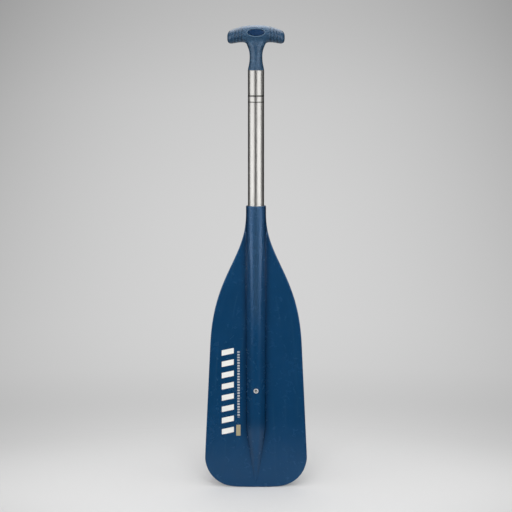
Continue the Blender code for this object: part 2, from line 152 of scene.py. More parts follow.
# %% Sizes of the whole paddle
GAP = 0.0003
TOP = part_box("grip")[1].z
TUBE_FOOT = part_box("shaft_tube")[0].z
TUBE_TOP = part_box("shaft_tube")[1].z
TUBE_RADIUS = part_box("shaft_tube")[1].x
TUBE_WALL = 0.0015
PLUG_FLANGE = 0.002
JOINT = TUBE_TOP + GAP
BORE_RADIUS = TUBE_RADIUS + GAP
BORE_FOOT = TUBE_FOOT - PLUG_FLANGE - 2 * GAP
SOCKET_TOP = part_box("blade")[1].z
SOCKET_RADIUS = BORE_RADIUS + 0.0035
print(f"top {TOP:.4f}, joint {JOINT:.4f}, socket top {SOCKET_TOP:.4f}, tube foot {TUBE_FOOT:.4f}")

# %% [markdown]
# ## Blade
# The real blade is one moulding: a flat web with a rounded edge, and a raised spine that grows
# into the round socket. It could be carved from a block or pieced together from a tube and a
# plate, but the joints of such a model always show in the highlights. Here a flat grid is fitted
# over the shape instead: each of its rows runs from the outline in to the spine, so the mesh
# flows as the plastic does. First come the curves that give the height of the surface.

# %% Section of the spine and the web
def ease(value):
    held = min(max(value, 0.0), 1.0)
    return held * held * (3 - 2 * held)


def mix(low, high, share):
    return low + (high - low) * share


WEB = 0.0044
EDGE_FLAT = 0.0014
EDGE_ROUND = 0.0020
CROWN_HEIGHT = BORE_RADIUS + 0.0025
CROWN_RADIUS = BORE_RADIUS + 0.0003
ARCH_FOOT = SOCKET_RADIUS + 0.0008
FOOT_NARROWING = 0.045
ARCH_SLOPE, ARCH_SIDE, ARCH_CORNER = math.radians(45), math.radians(80), 0.008
FILLET = 0.002
SPINE_END = 0.008
SPINE_TAPER = 0.125
SPINE_NOSE = 0.014
FOOT_TAPER = 0.117
FOOT_MEETING = -0.0076
ARCH = 0.370
NECK = SOCKET_TOP - 0.018
ROUND_FROM = NECK - 0.010


def spine_taper(z):
    return min(max((z - SPINE_END) / (SPINE_TAPER - SPINE_END), 0.0), 1.0)


def foot_taper(z):
    """Share of the foot's full width: slowly narrower down the spine, then a wedge with a nose."""
    down = min(max((ARCH - z) / (ARCH - FOOT_TAPER), 0.0), 1.0)
    wedge = min(max((z - FOOT_MEETING) / (FOOT_TAPER - FOOT_MEETING), 0.0), 1.0)
    return (1 - FOOT_NARROWING * down) * wedge * ease((z - SPINE_END) / SPINE_NOSE)


def spine_section(z):
    """Half-width of the spine's foot here, and how round its section is, from arch to socket."""
    roundness = ease((z - ARCH) / (ROUND_FROM - ARCH))
    return mix(ARCH_FOOT, SOCKET_RADIUS, roundness) * foot_taper(z), roundness


def arch_height(x):
    """The arch: its crown's arc, a sloping shoulder, a round corner and a steep side."""
    slope, side = math.tan(ARCH_SLOPE), math.tan(ARCH_SIDE)
    crown_x = CROWN_RADIUS * math.sin(ARCH_SLOPE)
    crown_height = CROWN_HEIGHT - CROWN_RADIUS * (1 - math.cos(ARCH_SLOPE))
    reach = ARCH_CORNER * (math.sin(ARCH_SIDE) - math.sin(ARCH_SLOPE))
    drop = ARCH_CORNER * (math.cos(ARCH_SLOPE) - math.cos(ARCH_SIDE))
    level = crown_height + slope * crown_x
    corner_x = (ARCH_FOOT - reach - (level - drop) / side) / (1 - slope / side)
    if x <= crown_x:
        return CROWN_HEIGHT - CROWN_RADIUS + math.sqrt(CROWN_RADIUS**2 - x * x)
    if x <= corner_x:
        return level - slope * x
    if x >= corner_x + reach:
        return max(ARCH_FOOT - x, 0.0) * side
    along = x - corner_x + ARCH_CORNER * math.sin(ARCH_SLOPE)
    centre = level - slope * corner_x - ARCH_CORNER * math.cos(ARCH_SLOPE)
    return centre + math.sqrt(ARCH_CORNER**2 - along**2)


def spine_height(x, z):
    """The arch, which turns into the round socket at the top and tapers off near the tip."""
    foot, roundness = spine_section(z)
    if x >= foot:
        return 0.0
    share = x / foot
    round_height = SOCKET_RADIUS * math.sqrt(1 - share**2)
    height = mix(arch_height(share * ARCH_FOOT), round_height, roundness)
    return mix(WEB / 2, height, spine_taper(z))


def blade_height(x, z, depth, half_width):
    """Height of the surface over the middle plane, with the corner by the spine filled in."""
    foot = spine_section(z)[0]
    inside = 1 - min(depth / EDGE_ROUND, 1.0)
    web = mix(EDGE_FLAT, WEB, math.sqrt(1 - inside * inside)) / 2
    spine = spine_height(x, z)
    room = ease((half_width - foot) / FILLET)
    fillet = FILLET * spine_taper(z) * room * ease(depth / EDGE_ROUND)
    reach = max(fillet - abs(spine - web), 0.0)
    return max(spine, web) + (reach * reach / (4 * fillet) if fillet > 0 else 0.0)


mid_blade = [round(spine_height(x / 1000, 0.25) * 1000, 1) for x in range(0, 22, 3)]
print("height of the spine at mid blade, every 3 mm:", mid_blade)

# %% [markdown]
# The outline is a curved shoulder, a nearly straight side, a round corner and a wide arc along
# the tip. The shoulder is a Bezier curve, whose two handles set how long it stays upright below
# the neck and how early it joins the side. Each point keeps the direction into the blade.

# %% Outline of the blade
SHOULDER = Vector((0.1804 / 2, 0.290))
SIDE_END = Vector((0.2026 / 2, 0.060))
TIP_CENTRE = Vector((0.020 / 2, 0.45))
CORNER_RADIUS = 0.060
NECK_HANDLE, SHOULDER_HANDLE = 0.337, 0.537
SHOULDER_ROWS, SIDE_ROWS, CORNER_ROWS, TIP_ROWS = 28, 12, 18, 5


def turned_by(direction, angle):
    cos, sin = math.cos(angle), math.sin(angle)
    return Vector((direction.x * cos - direction.y * sin, direction.x * sin + direction.y * cos))


def outline():
    run = (SIDE_END - SHOULDER).normalized()
    inward = Vector((run.y, -run.x))
    start = SHOULDER + inward * CORNER_RADIUS - TIP_CENTRE
    along = start.dot(run)
    reach = TIP_CENTRE.y - CORNER_RADIUS
    corner = start + run * (math.sqrt(along**2 - start.length_squared + reach**2) - along)
    corner += TIP_CENTRE
    drop = NECK - SHOULDER.y
    a, d = Vector((SOCKET_RADIUS, NECK)), SHOULDER
    b, c = a - Vector((0, drop * NECK_HANDLE)), d - run * drop * SHOULDER_HANDLE
    rows = []
    for step in range(SHOULDER_ROWS):
        t = step / SHOULDER_ROWS
        s = 1 - t
        place = a * s**3 + b * 3 * s * s * t + c * 3 * s * t * t + d * t**3
        heading = ((b - a) * s * s + (c - b) * 2 * s * t + (d - c) * t * t).normalized()
        rows.append((place, Vector((heading.y, -heading.x))))
    side_end = corner - inward * CORNER_RADIUS
    for step in range(SIDE_ROWS):
        rows.append((SHOULDER.lerp(side_end, step / SIDE_ROWS), inward))
    corner_end = (corner - TIP_CENTRE).normalized()
    sweep = (-inward).angle(corner_end)
    for step in range(CORNER_ROWS):
        out = turned_by(-inward, -sweep * step / CORNER_ROWS)
        rows.append((corner + out * CORNER_RADIUS, -out))
    sweep = corner_end.angle(Vector((0, -1)))
    for step in range(TIP_ROWS + 1):
        out = turned_by(corner_end, -sweep * step / TIP_ROWS)
        rows.append((TIP_CENTRE + out * TIP_CENTRE.y, -out))
    return rows + [(Vector((0, 0)), Vector((0, 1)))]


blade_outline = outline()
widest = 2 * max(place.x for place, _ in blade_outline)
print(f"outline: {len(blade_outline)} rows, widest {widest * 1000:.1f} mm")

# %% [markdown]
# Each row now gets its points from the middle of the spine out to the edge. They crowd together
# where the surface bends: over the crown, and in the rounded edge. The rows of the corner and
# the tip fan out from the spine's point, closer together there by the power FAN. Two more rows
# on top make the socket's collar.

# %% Rows of the blade
ARCH_COLUMNS = (0.0, 0.13, 0.26, 0.39, 0.5, 0.61, 0.72, 0.79, 0.85, 0.9, 0.935)
ARCH_COLUMNS += (0.96, 0.98, 0.995, 1.01, 1.04, 1.15)
WEB_COLUMNS = (0.84, 0.66, 0.46, 0.24)
EDGE_COLUMNS = (1.0, 0.62, 0.3, 0.1, 0.0)
FAN = 1.3
WIDEST_ARCH = 0.93
RIM = 0.0015
COLLAR = (SOCKET_TOP - RIM, NECK + 0.006)


def spine_ends(rows):
    """Height on the spine that each row runs to."""
    lengths = [0.0]
    for (low, _), (high, _) in zip(rows[::-1], rows[-2::-1]):
        lengths.append(lengths[-1] + (high - low).length)
    lengths.reverse()
    full = lengths[SHOULDER_ROWS]
    for (place, _), length in zip(rows, lengths):
        inner = mix(SPINE_END, SHOULDER.y, (length / full) ** FAN)
        yield place.y if length >= full else inner


def half_row(edge, inward, spine_end):
    """Points (x, z, height) of one row, from the crown out to the edge."""
    foot = spine_section(spine_end)[0]
    across = min(ARCH_COLUMNS[-1] * foot, WIDEST_ARCH * max(edge.x, foot))
    inner = Vector((across, spine_end))
    line = inner - edge
    room = line.dot(inward)
    rounded = min(EDGE_ROUND, room / 3)
    half = []
    for share in ARCH_COLUMNS:
        x = inner.x * share / ARCH_COLUMNS[-1]
        half.append((x, spine_end, blade_height(x, spine_end, room, edge.x)))
    depths = [mix(rounded, room, share) for share in WEB_COLUMNS]
    depths += [rounded * share for share in EDGE_COLUMNS]
    for depth in depths:
        place = edge + line * (depth / room)
        half.append((place.x, place.y, blade_height(place.x, place.y, depth, edge.x)))
    return half


blade_rows = [half_row(*row, end) for row, end in zip(blade_outline, spine_ends(blade_outline))]
blade_rows = [[(x, z, y) for x, _, y in blade_rows[0]] for z in COLLAR] + blade_rows
print(f"{len(blade_rows)} rows of {2 * len(blade_rows[0]) - 1} points")

# %% [markdown]
# A grid with as many rows and columns is added and every point of it goes to its place. That is
# the front of the blade. The back is its mirror image, and a bridge along the outline closes the
# edge between the two.

# %% Front and back of the blade
reach = len(blade_rows[0]) - 1
bpy.ops.mesh.primitive_grid_add(
    x_subdivisions=2 * reach, y_subdivisions=len(blade_rows) - 1, size=1
)
blade = named("blade_moulding")
for point in blade.data.vertices:
    column = round((point.co.x + 0.5) * 2 * reach) - reach
    row = round((0.5 - point.co.y) * (len(blade_rows) - 1))
    x, z, height = blade_rows[row][abs(column)]
    point.co = (math.copysign(x, column), -height, z)
tidy_surface(blade)
collar_top = COLLAR[0]


def at_mouth(vert):
    return abs(vert.co.z - collar_top) < TOUCH


edit(blade, everything=True)
front_faces = blade.data.total_face_sel
bpy.ops.mesh.duplicate()
bpy.ops.transform.resize(value=(1, -1, 1), center_override=(0, 0, 0))
bpy.ops.mesh.flip_normals()
bpy.ops.mesh.select_mode(type="EDGE")
seams = pick(blade, "edges", lambda e: e.is_boundary and not all(map(at_mouth, e.verts)))
bpy.ops.mesh.bridge_edge_loops()
leave()
print(f"front sheet {front_faces} faces, {seams} seam edges bridged")

# %% [markdown]
# The socket's mouth is pulled out of the open ring at the top: a rounded rim in small steps, a
# narrow land, and then the bore, all the way down to its floor. One level of subdivision rounds
# everything off.

# %% Socket and bore
def pull_ring(lift, share):
    """Extrudes the selected ring up by the lift and scales it about the shaft's axis."""
    pull(0, 0, lift)
    bpy.ops.transform.resize(value=(share, share, 1), center_override=(0, 0, 0))


def pull_profile(radius, height, profile):
    """Pulls the selected ring through the (radius, height) points of a profile."""
    for next_radius, next_height in profile:
        pull_ring(next_height - height, next_radius / radius)
        radius, height = next_radius, next_height


def rolled(radius, level, roll, way=1):
    """Points of a quarter round that turns inwards from this radius and level."""
    turns = [math.radians(angle) for angle in (30, 60, 90)]
    inwards = [radius - roll * (1 - math.cos(turn)) for turn in turns]
    return list(zip(inwards, [level + way * roll * math.sin(turn) for turn in turns]))


edit(blade, "EDGE")
pick(blade, "edges", lambda e: e.is_boundary and all(map(at_mouth, e.verts)))
mouth = [
    (BORE_RADIUS + 0.0006, SOCKET_TOP),
    (BORE_RADIUS + 0.00015, SOCKET_TOP - 0.00015),
    (BORE_RADIUS, SOCKET_TOP - 0.0006),
    (BORE_RADIUS, SOCKET_TOP - 0.004),
    (BORE_RADIUS, BORE_FOOT + 0.001),
    (BORE_RADIUS, BORE_FOOT),
]
pull_profile(SOCKET_RADIUS, collar_top, rolled(SOCKET_RADIUS, collar_top, RIM) + mouth)
bpy.ops.mesh.edge_face_add()
leave()
tidy_surface(blade)
modify(blade, "SUBSURF", levels=1, render_levels=1)
print(f"bore {BORE_RADIUS * 2000:.2f} mm across, {(SOCKET_TOP - BORE_FOOT) * 1000:.0f} mm deep")

# %% [markdown]
# The rivet sits in a flat spot on the crown, with a hole through to the bore. Both are what a
# cutter leaves, so a Boolean with a plain cylinder is the honest tool for them.

# %% Spot face and rivet hole
RIVET_Z = 0.1967
SEAT = CROWN_HEIGHT - 0.00145
SPOT_RADIUS = 0.0065
SHANK = 0.0024
HOLE = SHANK + GAP


def drill(piece, radius, z, near, far, facing):
    """Cuts a round hole along Y, facing -1 for the front or 1 for the back."""
    bpy.ops.mesh.primitive_cylinder_add(
        vertices=64,
        radius=radius,
        depth=far - near,
        location=(0, facing * (near + far) / 2, z),
        rotation=(math.pi / 2, 0, 0),
    )
    cutter = bpy.context.object
    settle(cutter)
    modify(piece, "BOOLEAN", object=cutter, operation="DIFFERENCE", solver="EXACT")
    bpy.data.objects.remove(cutter)


drill(blade, SPOT_RADIUS, RIVET_Z, SEAT, 2 * CROWN_HEIGHT, -1)
drill(blade, HOLE, RIVET_Z, 0.0, CROWN_HEIGHT, -1)
smooth(blade, 38)
adopt(blade, "blade_plastic", "blade")

# %% [markdown]
# ## Shaft
# The shaft is a drawn tube. A cylinder without caps is its outer wall; each open end is rolled
# inwards a little, as a tube's cut end is after deburring, and a bridge between the two ends
# makes the inner wall.

# %% Shaft tube
TUBE_ROLL = 0.0004
INNER_ROLL = 0.0002
GRIP_RIVET_Z = JOINT - 0.020
bpy.ops.mesh.primitive_cylinder_add(
    vertices=144,
    radius=TUBE_RADIUS,
    depth=TUBE_TOP - TUBE_FOOT - 2 * TUBE_ROLL,
    end_fill_type="NOTHING",
    location=(0, 0, (TUBE_TOP + TUBE_FOOT) / 2),
)
tube = named("shaft")
settle(tube)
edit(tube, "EDGE")
inner = TUBE_RADIUS - TUBE_WALL
for end, way in ((TUBE_TOP, 1), (TUBE_FOOT, -1)):
    level = end - way * TUBE_ROLL
    pick(tube, "edges", lambda e: all(abs(v.co.z - level) < TOUCH for v in e.verts))
    inside = [(inner + INNER_ROLL, end), (inner, end - way * INNER_ROLL)]
    pull_profile(TUBE_RADIUS, level, rolled(TUBE_RADIUS, level, TUBE_ROLL, way) + inside)
pick(tube, "edges", lambda e: e.is_boundary)
bpy.ops.mesh.bridge_edge_loops()
leave()
tidy_surface(tube)
drill(tube, HOLE, RIVET_Z, 0.0, 2 * TUBE_RADIUS, -1)
drill(tube, HOLE, GRIP_RIVET_Z, 0.0, 2 * TUBE_RADIUS, 1)
smooth(tube, 38)
adopt(tube, "tube_aluminium", "shaft_tube")

# %% [markdown]
# ## Grip
# The T-grip is a soft, rounded moulding, which is what a subdivision surface is best at: a block
# with few faces is pulled into arms and a neck, and subdividing turns it into a smooth solid. A
# ring of eight control points rounds to nine tenths of its size, so each ring is placed that
# much larger than the section it stands for.

# %% Block of the grip
GRIP_HALF_WIDTH = 0.1115 / 2
GRIP_HALF_DEPTH = 0.0300 / 2
BLOCK = 0.0190
BLOCK_HALF_HEIGHT = 0.015
BLOCK_Z = TOP - 0.0170
EIGHT_POINT_SHARE = (4 + 2 * math.cos(math.pi / 4)) / 6
MIDDLE_RINGS = ((0.0, 0.0168, 0.0172, 1.04), (BLOCK, 0.0172, 0.0166, 1.02))
ARM_RINGS = (
    (0.0310, 0.0184, 0.0148, 0.98),
    (GRIP_HALF_WIDTH - 0.0130, 0.0213, 0.0142, 0.94),
    (GRIP_HALF_WIDTH - 0.0045, 0.0238, 0.0130, 0.84),
    (GRIP_HALF_WIDTH, 0.0243, 0.0076, 0.50),
)
NECK_LENGTH = TOP - JOINT - MIDDLE_RINGS[0][1] - MIDDLE_RINGS[0][2]
NECK_RINGS = (
    (0.8885, 0.0173, 0.0155),
    (0.7372, 0.0135, 0.0140),
    (0.5104, 0.0119, 0.0122),
    (0.2457, 0.0130, 0.0130),
    (0.0851, TUBE_RADIUS - 0.0008, TUBE_RADIUS - 0.0008),
    (0.0, TUBE_RADIUS, TUBE_RADIUS),
)


def sign(value):
    return (value > 0.0001) - (value < -0.0001)


def place_ring(axes, centre, halves):
    """Puts the grip's selected points on an eight-point ring round the centre."""
    mesh = bmesh.from_edit_mesh(grip.data)
    points = [v for v in mesh.verts if v.select]
    middle = [(min(v.co[a] for v in points) + max(v.co[a] for v in points)) / 2 for a in axes]
    for point in points:
        ways = [sign(point.co[a] - m) for a, m in zip(axes, middle)]
        reach = math.hypot(*ways)
        scale = 1 / EIGHT_POINT_SHARE / reach if reach else 0.0
        point.co = centre
        for axis, way, half in zip(axes, ways, halves):
            point.co[axis] += way * half * scale
    bmesh.update_edit_mesh(grip.data)


bpy.ops.mesh.primitive_cube_add(size=1, location=(0, 0, BLOCK_Z))
grip = named("grip_moulding")
grip.scale = (2 * BLOCK, 2 * GRIP_HALF_DEPTH, 2 * BLOCK_HALF_HEIGHT)
settle(grip)
edit(grip, everything=True)
bpy.ops.mesh.subdivide(number_cuts=1)
leave()
print(f"block: {len(grip.data.polygons)} faces")

# %% [markdown]
# The four faces at each end are pulled out four times for an arm, and the four faces below six
# times for the neck. Every new ring is put at its own width, depth and height.

# %% Arms and neck
edit(grip)
for side in (-1, 1):
    pick(grip, "faces", lambda f: f.normal.x * side > FACING)
    for out, drop, half_height, depth in ARM_RINGS:
        pull(side * 0.01, 0, 0)
        place_ring((1, 2), (side * out, 0, TOP - drop), (GRIP_HALF_DEPTH * depth, half_height))
pick(grip, "faces", lambda f: f.normal.z < -FACING and abs(f.calc_center_median().x) < BLOCK)
for share, half_width, half_depth in NECK_RINGS:
    pull(0, 0, -0.01)
    place_ring((0, 1), (0, 0, JOINT + NECK_LENGTH * share), (half_width, half_depth))
leave()
print(f"with arms and neck: {len(grip.data.polygons)} faces")

# %% [markdown]
# The front of the grip has an oval recess. The four front faces are inset into an oval ring,
# and inset again for its lip, its wall and its floor. The rings lie close together at the lip,
# which keeps it crisp when the block is subdivided.

# %% Oval recess
OVAL_HALF_WIDTH = 0.0332 / 2
OVAL_HALF_HEIGHT = 0.0141 / 2
OVAL_Z = TOP - 0.0140
OVAL_FLOOR = GRIP_HALF_DEPTH - 0.0046
OVAL_RINGS = ((0.0012, 0.0), (0.0003, 0.0001), (0.0, 0.0008), (-0.0002, None), (-0.0010, None))


def arm_section(x, rings):
    """Drop, half-height and share of the depth of the arm's section, this far out."""
    for near, far in zip(rings, rings[1:]):
        if x <= far[0]:
            share = (x - near[0]) / (far[0] - near[0])
            return [mix(a, b, share) for a, b in zip(near[1:], far[1:])]
    return rings[-1][1:]


def grip_front(x, z):
    """Distance of the grip's front from the middle plane, by the ellipse of its section."""
    drop, half_height, depth = arm_section(abs(x), MIDDLE_RINGS)
    rise = min(abs(z - (TOP - drop)) / half_height, 1.0)
    return GRIP_HALF_DEPTH * depth * math.sqrt(1 - rise * rise)


def place_oval(grow, sink):
    """Puts the selected ring on the oval, a little larger, sunk by this or down to the floor."""
    place_ring((0, 2), (0, 0, OVAL_Z), (OVAL_HALF_WIDTH + grow, OVAL_HALF_HEIGHT + grow))
    mesh = bmesh.from_edit_mesh(grip.data)
    for point in (v for v in mesh.verts if v.select):
        surface = grip_front(point.co.x, point.co.z)
        point.co.y = -OVAL_FLOOR if sink is None else -(surface - sink)
    bmesh.update_edit_mesh(grip.data)


def on_front(face):
    middle = face.calc_center_median()
    on_block = abs(middle.x) < BLOCK and middle.z > BLOCK_Z - BLOCK_HALF_HEIGHT
    return on_block and face.normal.y < -FACING


edit(grip)
pick(grip, "faces", on_front)
for grow, sink in OVAL_RINGS:
    bpy.ops.mesh.inset(thickness=0.0005)
    place_oval(grow, sink)
leave()
print(f"with the recess: {len(grip.data.polygons)} faces")

# %% [markdown]
# Only now do the block's own points go to their rounded places. Those beside the oval move out a
# little, to leave room for its lip. The ones below it stay, because the neck hangs on them.

# %% Rounded block
OVAL_ROOM = 0.0228
block_halves = (BLOCK, GRIP_HALF_DEPTH, BLOCK_HALF_HEIGHT)

edit(grip, "VERT")
mesh = bmesh.from_edit_mesh(grip.data)
moved = 0
for point in mesh.verts:
    x, y, z = point.co.x, point.co.y, point.co.z - BLOCK_Z
    misses = [min(abs(p), abs(abs(p) - half)) for p, half in zip((x, y, z), block_halves)]
    if max(misses) > TOUCH or (sign(y), sign(z)) == (0, 0):
        continue
    out = abs(sign(x)) * (BLOCK if sign(z) < 0 else OVAL_ROOM)
    drop, half_height, depth = arm_section(out, MIDDLE_RINGS + ARM_RINGS)
    scale = 1 / EIGHT_POINT_SHARE / math.hypot(sign(y), sign(z))
    point.co.z = TOP - drop + sign(z) * half_height * scale
    point.co.y = sign(y) * GRIP_HALF_DEPTH * depth * scale
    point.co.x = math.copysign(out, x)
    moved += 1
bmesh.update_edit_mesh(grip.data)
leave()
print(f"{moved} points of the block rounded")

# %% [markdown]
# The neck's foot is creased, so that it stays flat on the end of the shaft. Inside that ring the
# moulding goes on as a hollow spigot, which is out of sight in the tube. Four levels of
# subdivision make the whole cage smooth.

# %% Spigot
SPIGOT = TUBE_RADIUS - TUBE_WALL - GAP
SPIGOT_BORE = SPIGOT - 0.0032
SPIGOT_FOOT = JOINT - 0.045
SPIGOT_ROUND = 0.0004


def at_joint(face):
    return face.normal.z < -FACING and all(abs(vert.co.z - JOINT) < TOUCH for vert in face.verts)


edit(grip)
pick(grip, "faces", at_joint)
bpy.ops.mesh.region_to_loop()
bpy.ops.transform.edge_crease(value=1)
bpy.ops.mesh.loop_to_region()
bpy.ops.mesh.select_mode(type="FACE")
bpy.ops.mesh.inset(thickness=0.002)
place_ring((0, 1), (0, 0, JOINT), (SPIGOT, SPIGOT))
for radius, height in (
    (SPIGOT, JOINT - 0.001),
    (SPIGOT, SPIGOT_FOOT + 0.002),
    (SPIGOT, SPIGOT_FOOT + SPIGOT_ROUND),
    (SPIGOT - SPIGOT_ROUND, SPIGOT_FOOT),
    (SPIGOT_BORE + SPIGOT_ROUND, SPIGOT_FOOT),
    (SPIGOT_BORE, SPIGOT_FOOT + SPIGOT_ROUND),
    (SPIGOT_BORE, JOINT - TUBE_WALL),
):
    pull(0, 0, -0.001)
    place_ring((0, 1), (0, 0, height), (radius, radius))
leave()
tidy_surface(grip)
modify(grip, "SUBSURF", levels=4, render_levels=4)
print(f"grip rounded to {len(grip.data.polygons)} faces")

# %% [markdown]
# Shallow upright ribs on the arms give the fingers hold. They are too fine for the cage, so the
# smooth surface itself is pressed in between them: each point moves along its normal by a wave
# of its distance out, which fades at both ends of the row and round the top and the underside.

# %% Finger ribs
RIB_PITCH = 0.0064
RIB_START = 0.0216
RIB_END = 0.0485
RIB_DEPTH = 0.0006
RIB_FADE_IN, RIB_FADE_OUT = 0.002, 0.004
FLANK, FLANK_FADE = 0.25, 0.45

for point in grip.data.vertices:
    out = abs(point.co.x)
    if RIB_START < out < RIB_END:
        wave = (0.5 + 0.5 * math.cos(math.tau * (out - RIB_START) / RIB_PITCH)) ** 2
        ends = ease((out - RIB_START) / RIB_FADE_IN) * ease((RIB_END - out) / RIB_FADE_OUT)
        side = ease((abs(point.normal.y) - FLANK) / FLANK_FADE)
        point.co -= point.normal * RIB_DEPTH * wave * ends * side
drill(grip, HOLE, GRIP_RIVET_Z, 0.0, 2 * TUBE_RADIUS, 1)
smooth(grip, 45)
adopt(grip, "grip_plastic", "grip")

# %% [markdown]
# ## Oval plate
# A smooth blank plate lies in the recess. It is a circle squeezed to the oval, pulled up to a
# disc, with its edge rounded and its face slightly crowned, so that it catches the light as one
# soft spot and not as a mirror.

# %% Plate in the recess
PLATE_ROOM = 0.0003
PLATE_EDGE = 0.00045
PLATE_FACE = (
    (0.994, 0.0002), (0.98, 0.0001), (0.93, 0.00012),
    (0.8, 0.0001), (0.55, 0.00008), (0.25, 0.00003),
)
plate_back = OVAL_FLOOR + GAP
plate_low, plate_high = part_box("grip_plate")
plate_size = (plate_high - plate_low) / 2
bpy.ops.mesh.primitive_circle_add(
    vertices=96,
    radius=1,
    fill_type="NGON",
    location=(0, -plate_back, OVAL_Z),
    rotation=(math.pi / 2, 0, 0),
)
plate = named("oval_plate")
plate.scale = (plate_size.x - PLATE_ROOM, plate_size.z - PLATE_ROOM, 1)
settle(plate)
edit(plate, everything=True)
pull(0, -PLATE_EDGE, 0)
for share, lift in PLATE_FACE:
    pull(0, -lift, 0)
    bpy.ops.transform.resize(value=(share, 1, share), center_override=(0, 0, OVAL_Z))
leave()
tidy_surface(plate)
smooth(plate, 60)
adopt(plate, "plate_plastic", "grip_plate")

# %% [markdown]
# ## Rivets
# A blind rivet is a turned part, and so is the stem left in it: half of its section, spun once
# round the axis, is the whole body. The profile starts as one point that is extruded from corner
# to corner. The flange is domed, dished in the middle and burnished by the setting tool.

# %% Turning a profile
def turn(name, profile, steps=64):
    """Extrudes one point along the closed (radius, height) profile and spins it round Z."""
    bpy.ops.mesh.primitive_plane_add(size=0.001)
    piece = named(name)
    edit(piece, "VERT", everything=True)
    bpy.ops.mesh.merge(type="CENTER")
    radius, height = profile[0]
    bpy.ops.transform.translate(value=(radius, 0, height))
    for next_radius, next_height in profile[1:]:
        pull(next_radius - radius, 0, next_height - height)
        radius, height = next_radius, next_height
    bpy.ops.mesh.select_all(action="SELECT")
    if profile[0][0] > 0:
        bpy.ops.mesh.edge_face_add()
        bpy.ops.mesh.delete(type="ONLY_FACE")
        bpy.ops.mesh.select_all(action="SELECT")
    bpy.ops.mesh.spin(steps=steps, angle=math.tau, center=(0, 0, 0), axis=(0, 0, 1))
    leave()
    tidy_surface(piece)
    return piece


def aim(piece, facing, height):
    """Turns the piece's +Z to the front (-1) or the back (1) and lifts it to that height."""
    piece.rotation_euler = (-facing * math.pi / 2, 0, 0)
    piece.location = (0, 0, height)
    settle(piece)


BULB_RADIUS = 0.0037
BULB_LENGTH = 0.0045
FLANGE = (
    (0.00240, 0.0), (0.00455, 0.0), (0.00480, 0.00020), (0.00478, 0.00050), (0.00458, 0.00086),
    (0.00420, 0.00114), (0.00378, 0.00131), (0.00344, 0.00138), (0.00316, 0.00136),
    (0.00292, 0.00120), (0.00272, 0.00092), (0.00246, 0.00072), (0.00210, 0.00060),
    (0.00175, 0.00055), (0.00160, 0.00045),
)
BULB = (
    (0.00160, -BULB_LENGTH), (0.00330, -BULB_LENGTH), (0.00362, -0.0040), (BULB_RADIUS, -0.0030),
    (0.00362, -0.0012), (0.00320, -0.0003), (SHANK, 0.0),
)
STEM_HEAD = (
    (0.0, -0.0026), (0.0012, -0.0024), (0.0019, -0.0019), (0.0023, -0.0011), (0.0023, -0.0002),
    (0.0021, 0.0), (0.0013, 0.0),
)
STEM_END = (
    (0.0013, -0.00030), (0.00122, -0.00012), (0.00095, -0.00004), (0.00060, 0.0),
    (0.00030, -0.00010), (0.0, -0.00014),
)


def lifted(profile, height):
    return [(radius, height + level) for radius, level in profile]


def rivet_profile(seat, blind):
    """Flange outside the seat, shank through the hole, and bulb inside the blind wall."""
    return lifted(FLANGE, seat + GAP) + lifted(BULB, blind)


def stem_profile(seat, blind):
    """The mandrel's head behind the bulb, its shaft, and the end where it snapped."""
    return lifted(STEM_HEAD, blind - BULB_LENGTH - GAP) + lifted(STEM_END, seat + GAP + 0.00082)


def blind_side(bore):
    """Height at which the bulb's edge meets the round wall of the bore from inside."""
    return math.sqrt(bore * bore - BULB_RADIUS**2) - GAP


# %% [markdown]
# One rivet sits on the spine's crown at the front. The other holds the grip, at the back of the
# shaft's upper end.

# %% Two rivets and their stems
rivets, stems = [], []
for seat, bore, facing, height, side, node in (
    (SEAT, TUBE_RADIUS - TUBE_WALL, -1, RIVET_Z, "front", "blade_rivet"),
    (TUBE_RADIUS, SPIGOT_BORE, 1, GRIP_RIVET_Z, "back", "grip_rivet"),
):
    rivet = turn(f"rivet_{side}", rivet_profile(seat, blind_side(bore)))
    stem = turn(f"rivet_stem_{side}", stem_profile(seat, blind_side(bore)), 32)
    for piece in (rivet, stem):
        aim(piece, facing, height)
        smooth(piece, 50)
    adopt(rivet, "rivet_metal", node)
    adopt(stem, "stem_metal", f"{node}_stem")
    rivets.append(rivet)
    stems.append(stem)

# %% [markdown]
# ## How each surface bends
# Wear sits on the corners that stick out, and some finishes are darker in the ones that turn in. A
# shader can't see that by itself, so each piece stores it: the attribute "bend" is above zero where
# the surface is convex, below zero where it is hollow, and reaches one at a radius of about a
# millimetre.

# %% Attribute for wear
BEND_UNIT = 0.001
SHORTEST_STEP = 0.0003


def store_bend(piece):
    mesh = piece.data
    normals = [point.normal.copy() for point in mesh.vertices]
    sums = [0.0] * len(normals)
    counts = [0] * len(normals)
    for edge in mesh.edges:
        a, b = edge.vertices
        step = mesh.vertices[b].co - mesh.vertices[a].co
        turn_here = (normals[b] - normals[a]).dot(step) / max(step.length, SHORTEST_STEP) ** 2
        for index in (a, b):
            sums[index] += turn_here
            counts[index] += 1
    means = [total / max(count, 1) * BEND_UNIT for total, count in zip(sums, counts)]
    bend = [min(max(mean, -1.0), 1.0) for mean in means]
    layer = mesh.attributes.new("bend", "FLOAT", "POINT")
    layer.data.foreach_set("value", bend)
    print(f"{piece.name}: bend {min(bend):.2f} to {max(bend):.2f}")


for piece in (blade, tube, grip, plate, *rivets, *stems):
    store_bend(piece)

# %% [markdown]
# ## Finishes
# Every finish is made of nodes, and its patterns are laid out in real metres by Object
# coordinates. The helpers here each add one node, or a few, and return the wire that comes out.
# A wire knows its own tree, so whatever it is led to is added beside it.

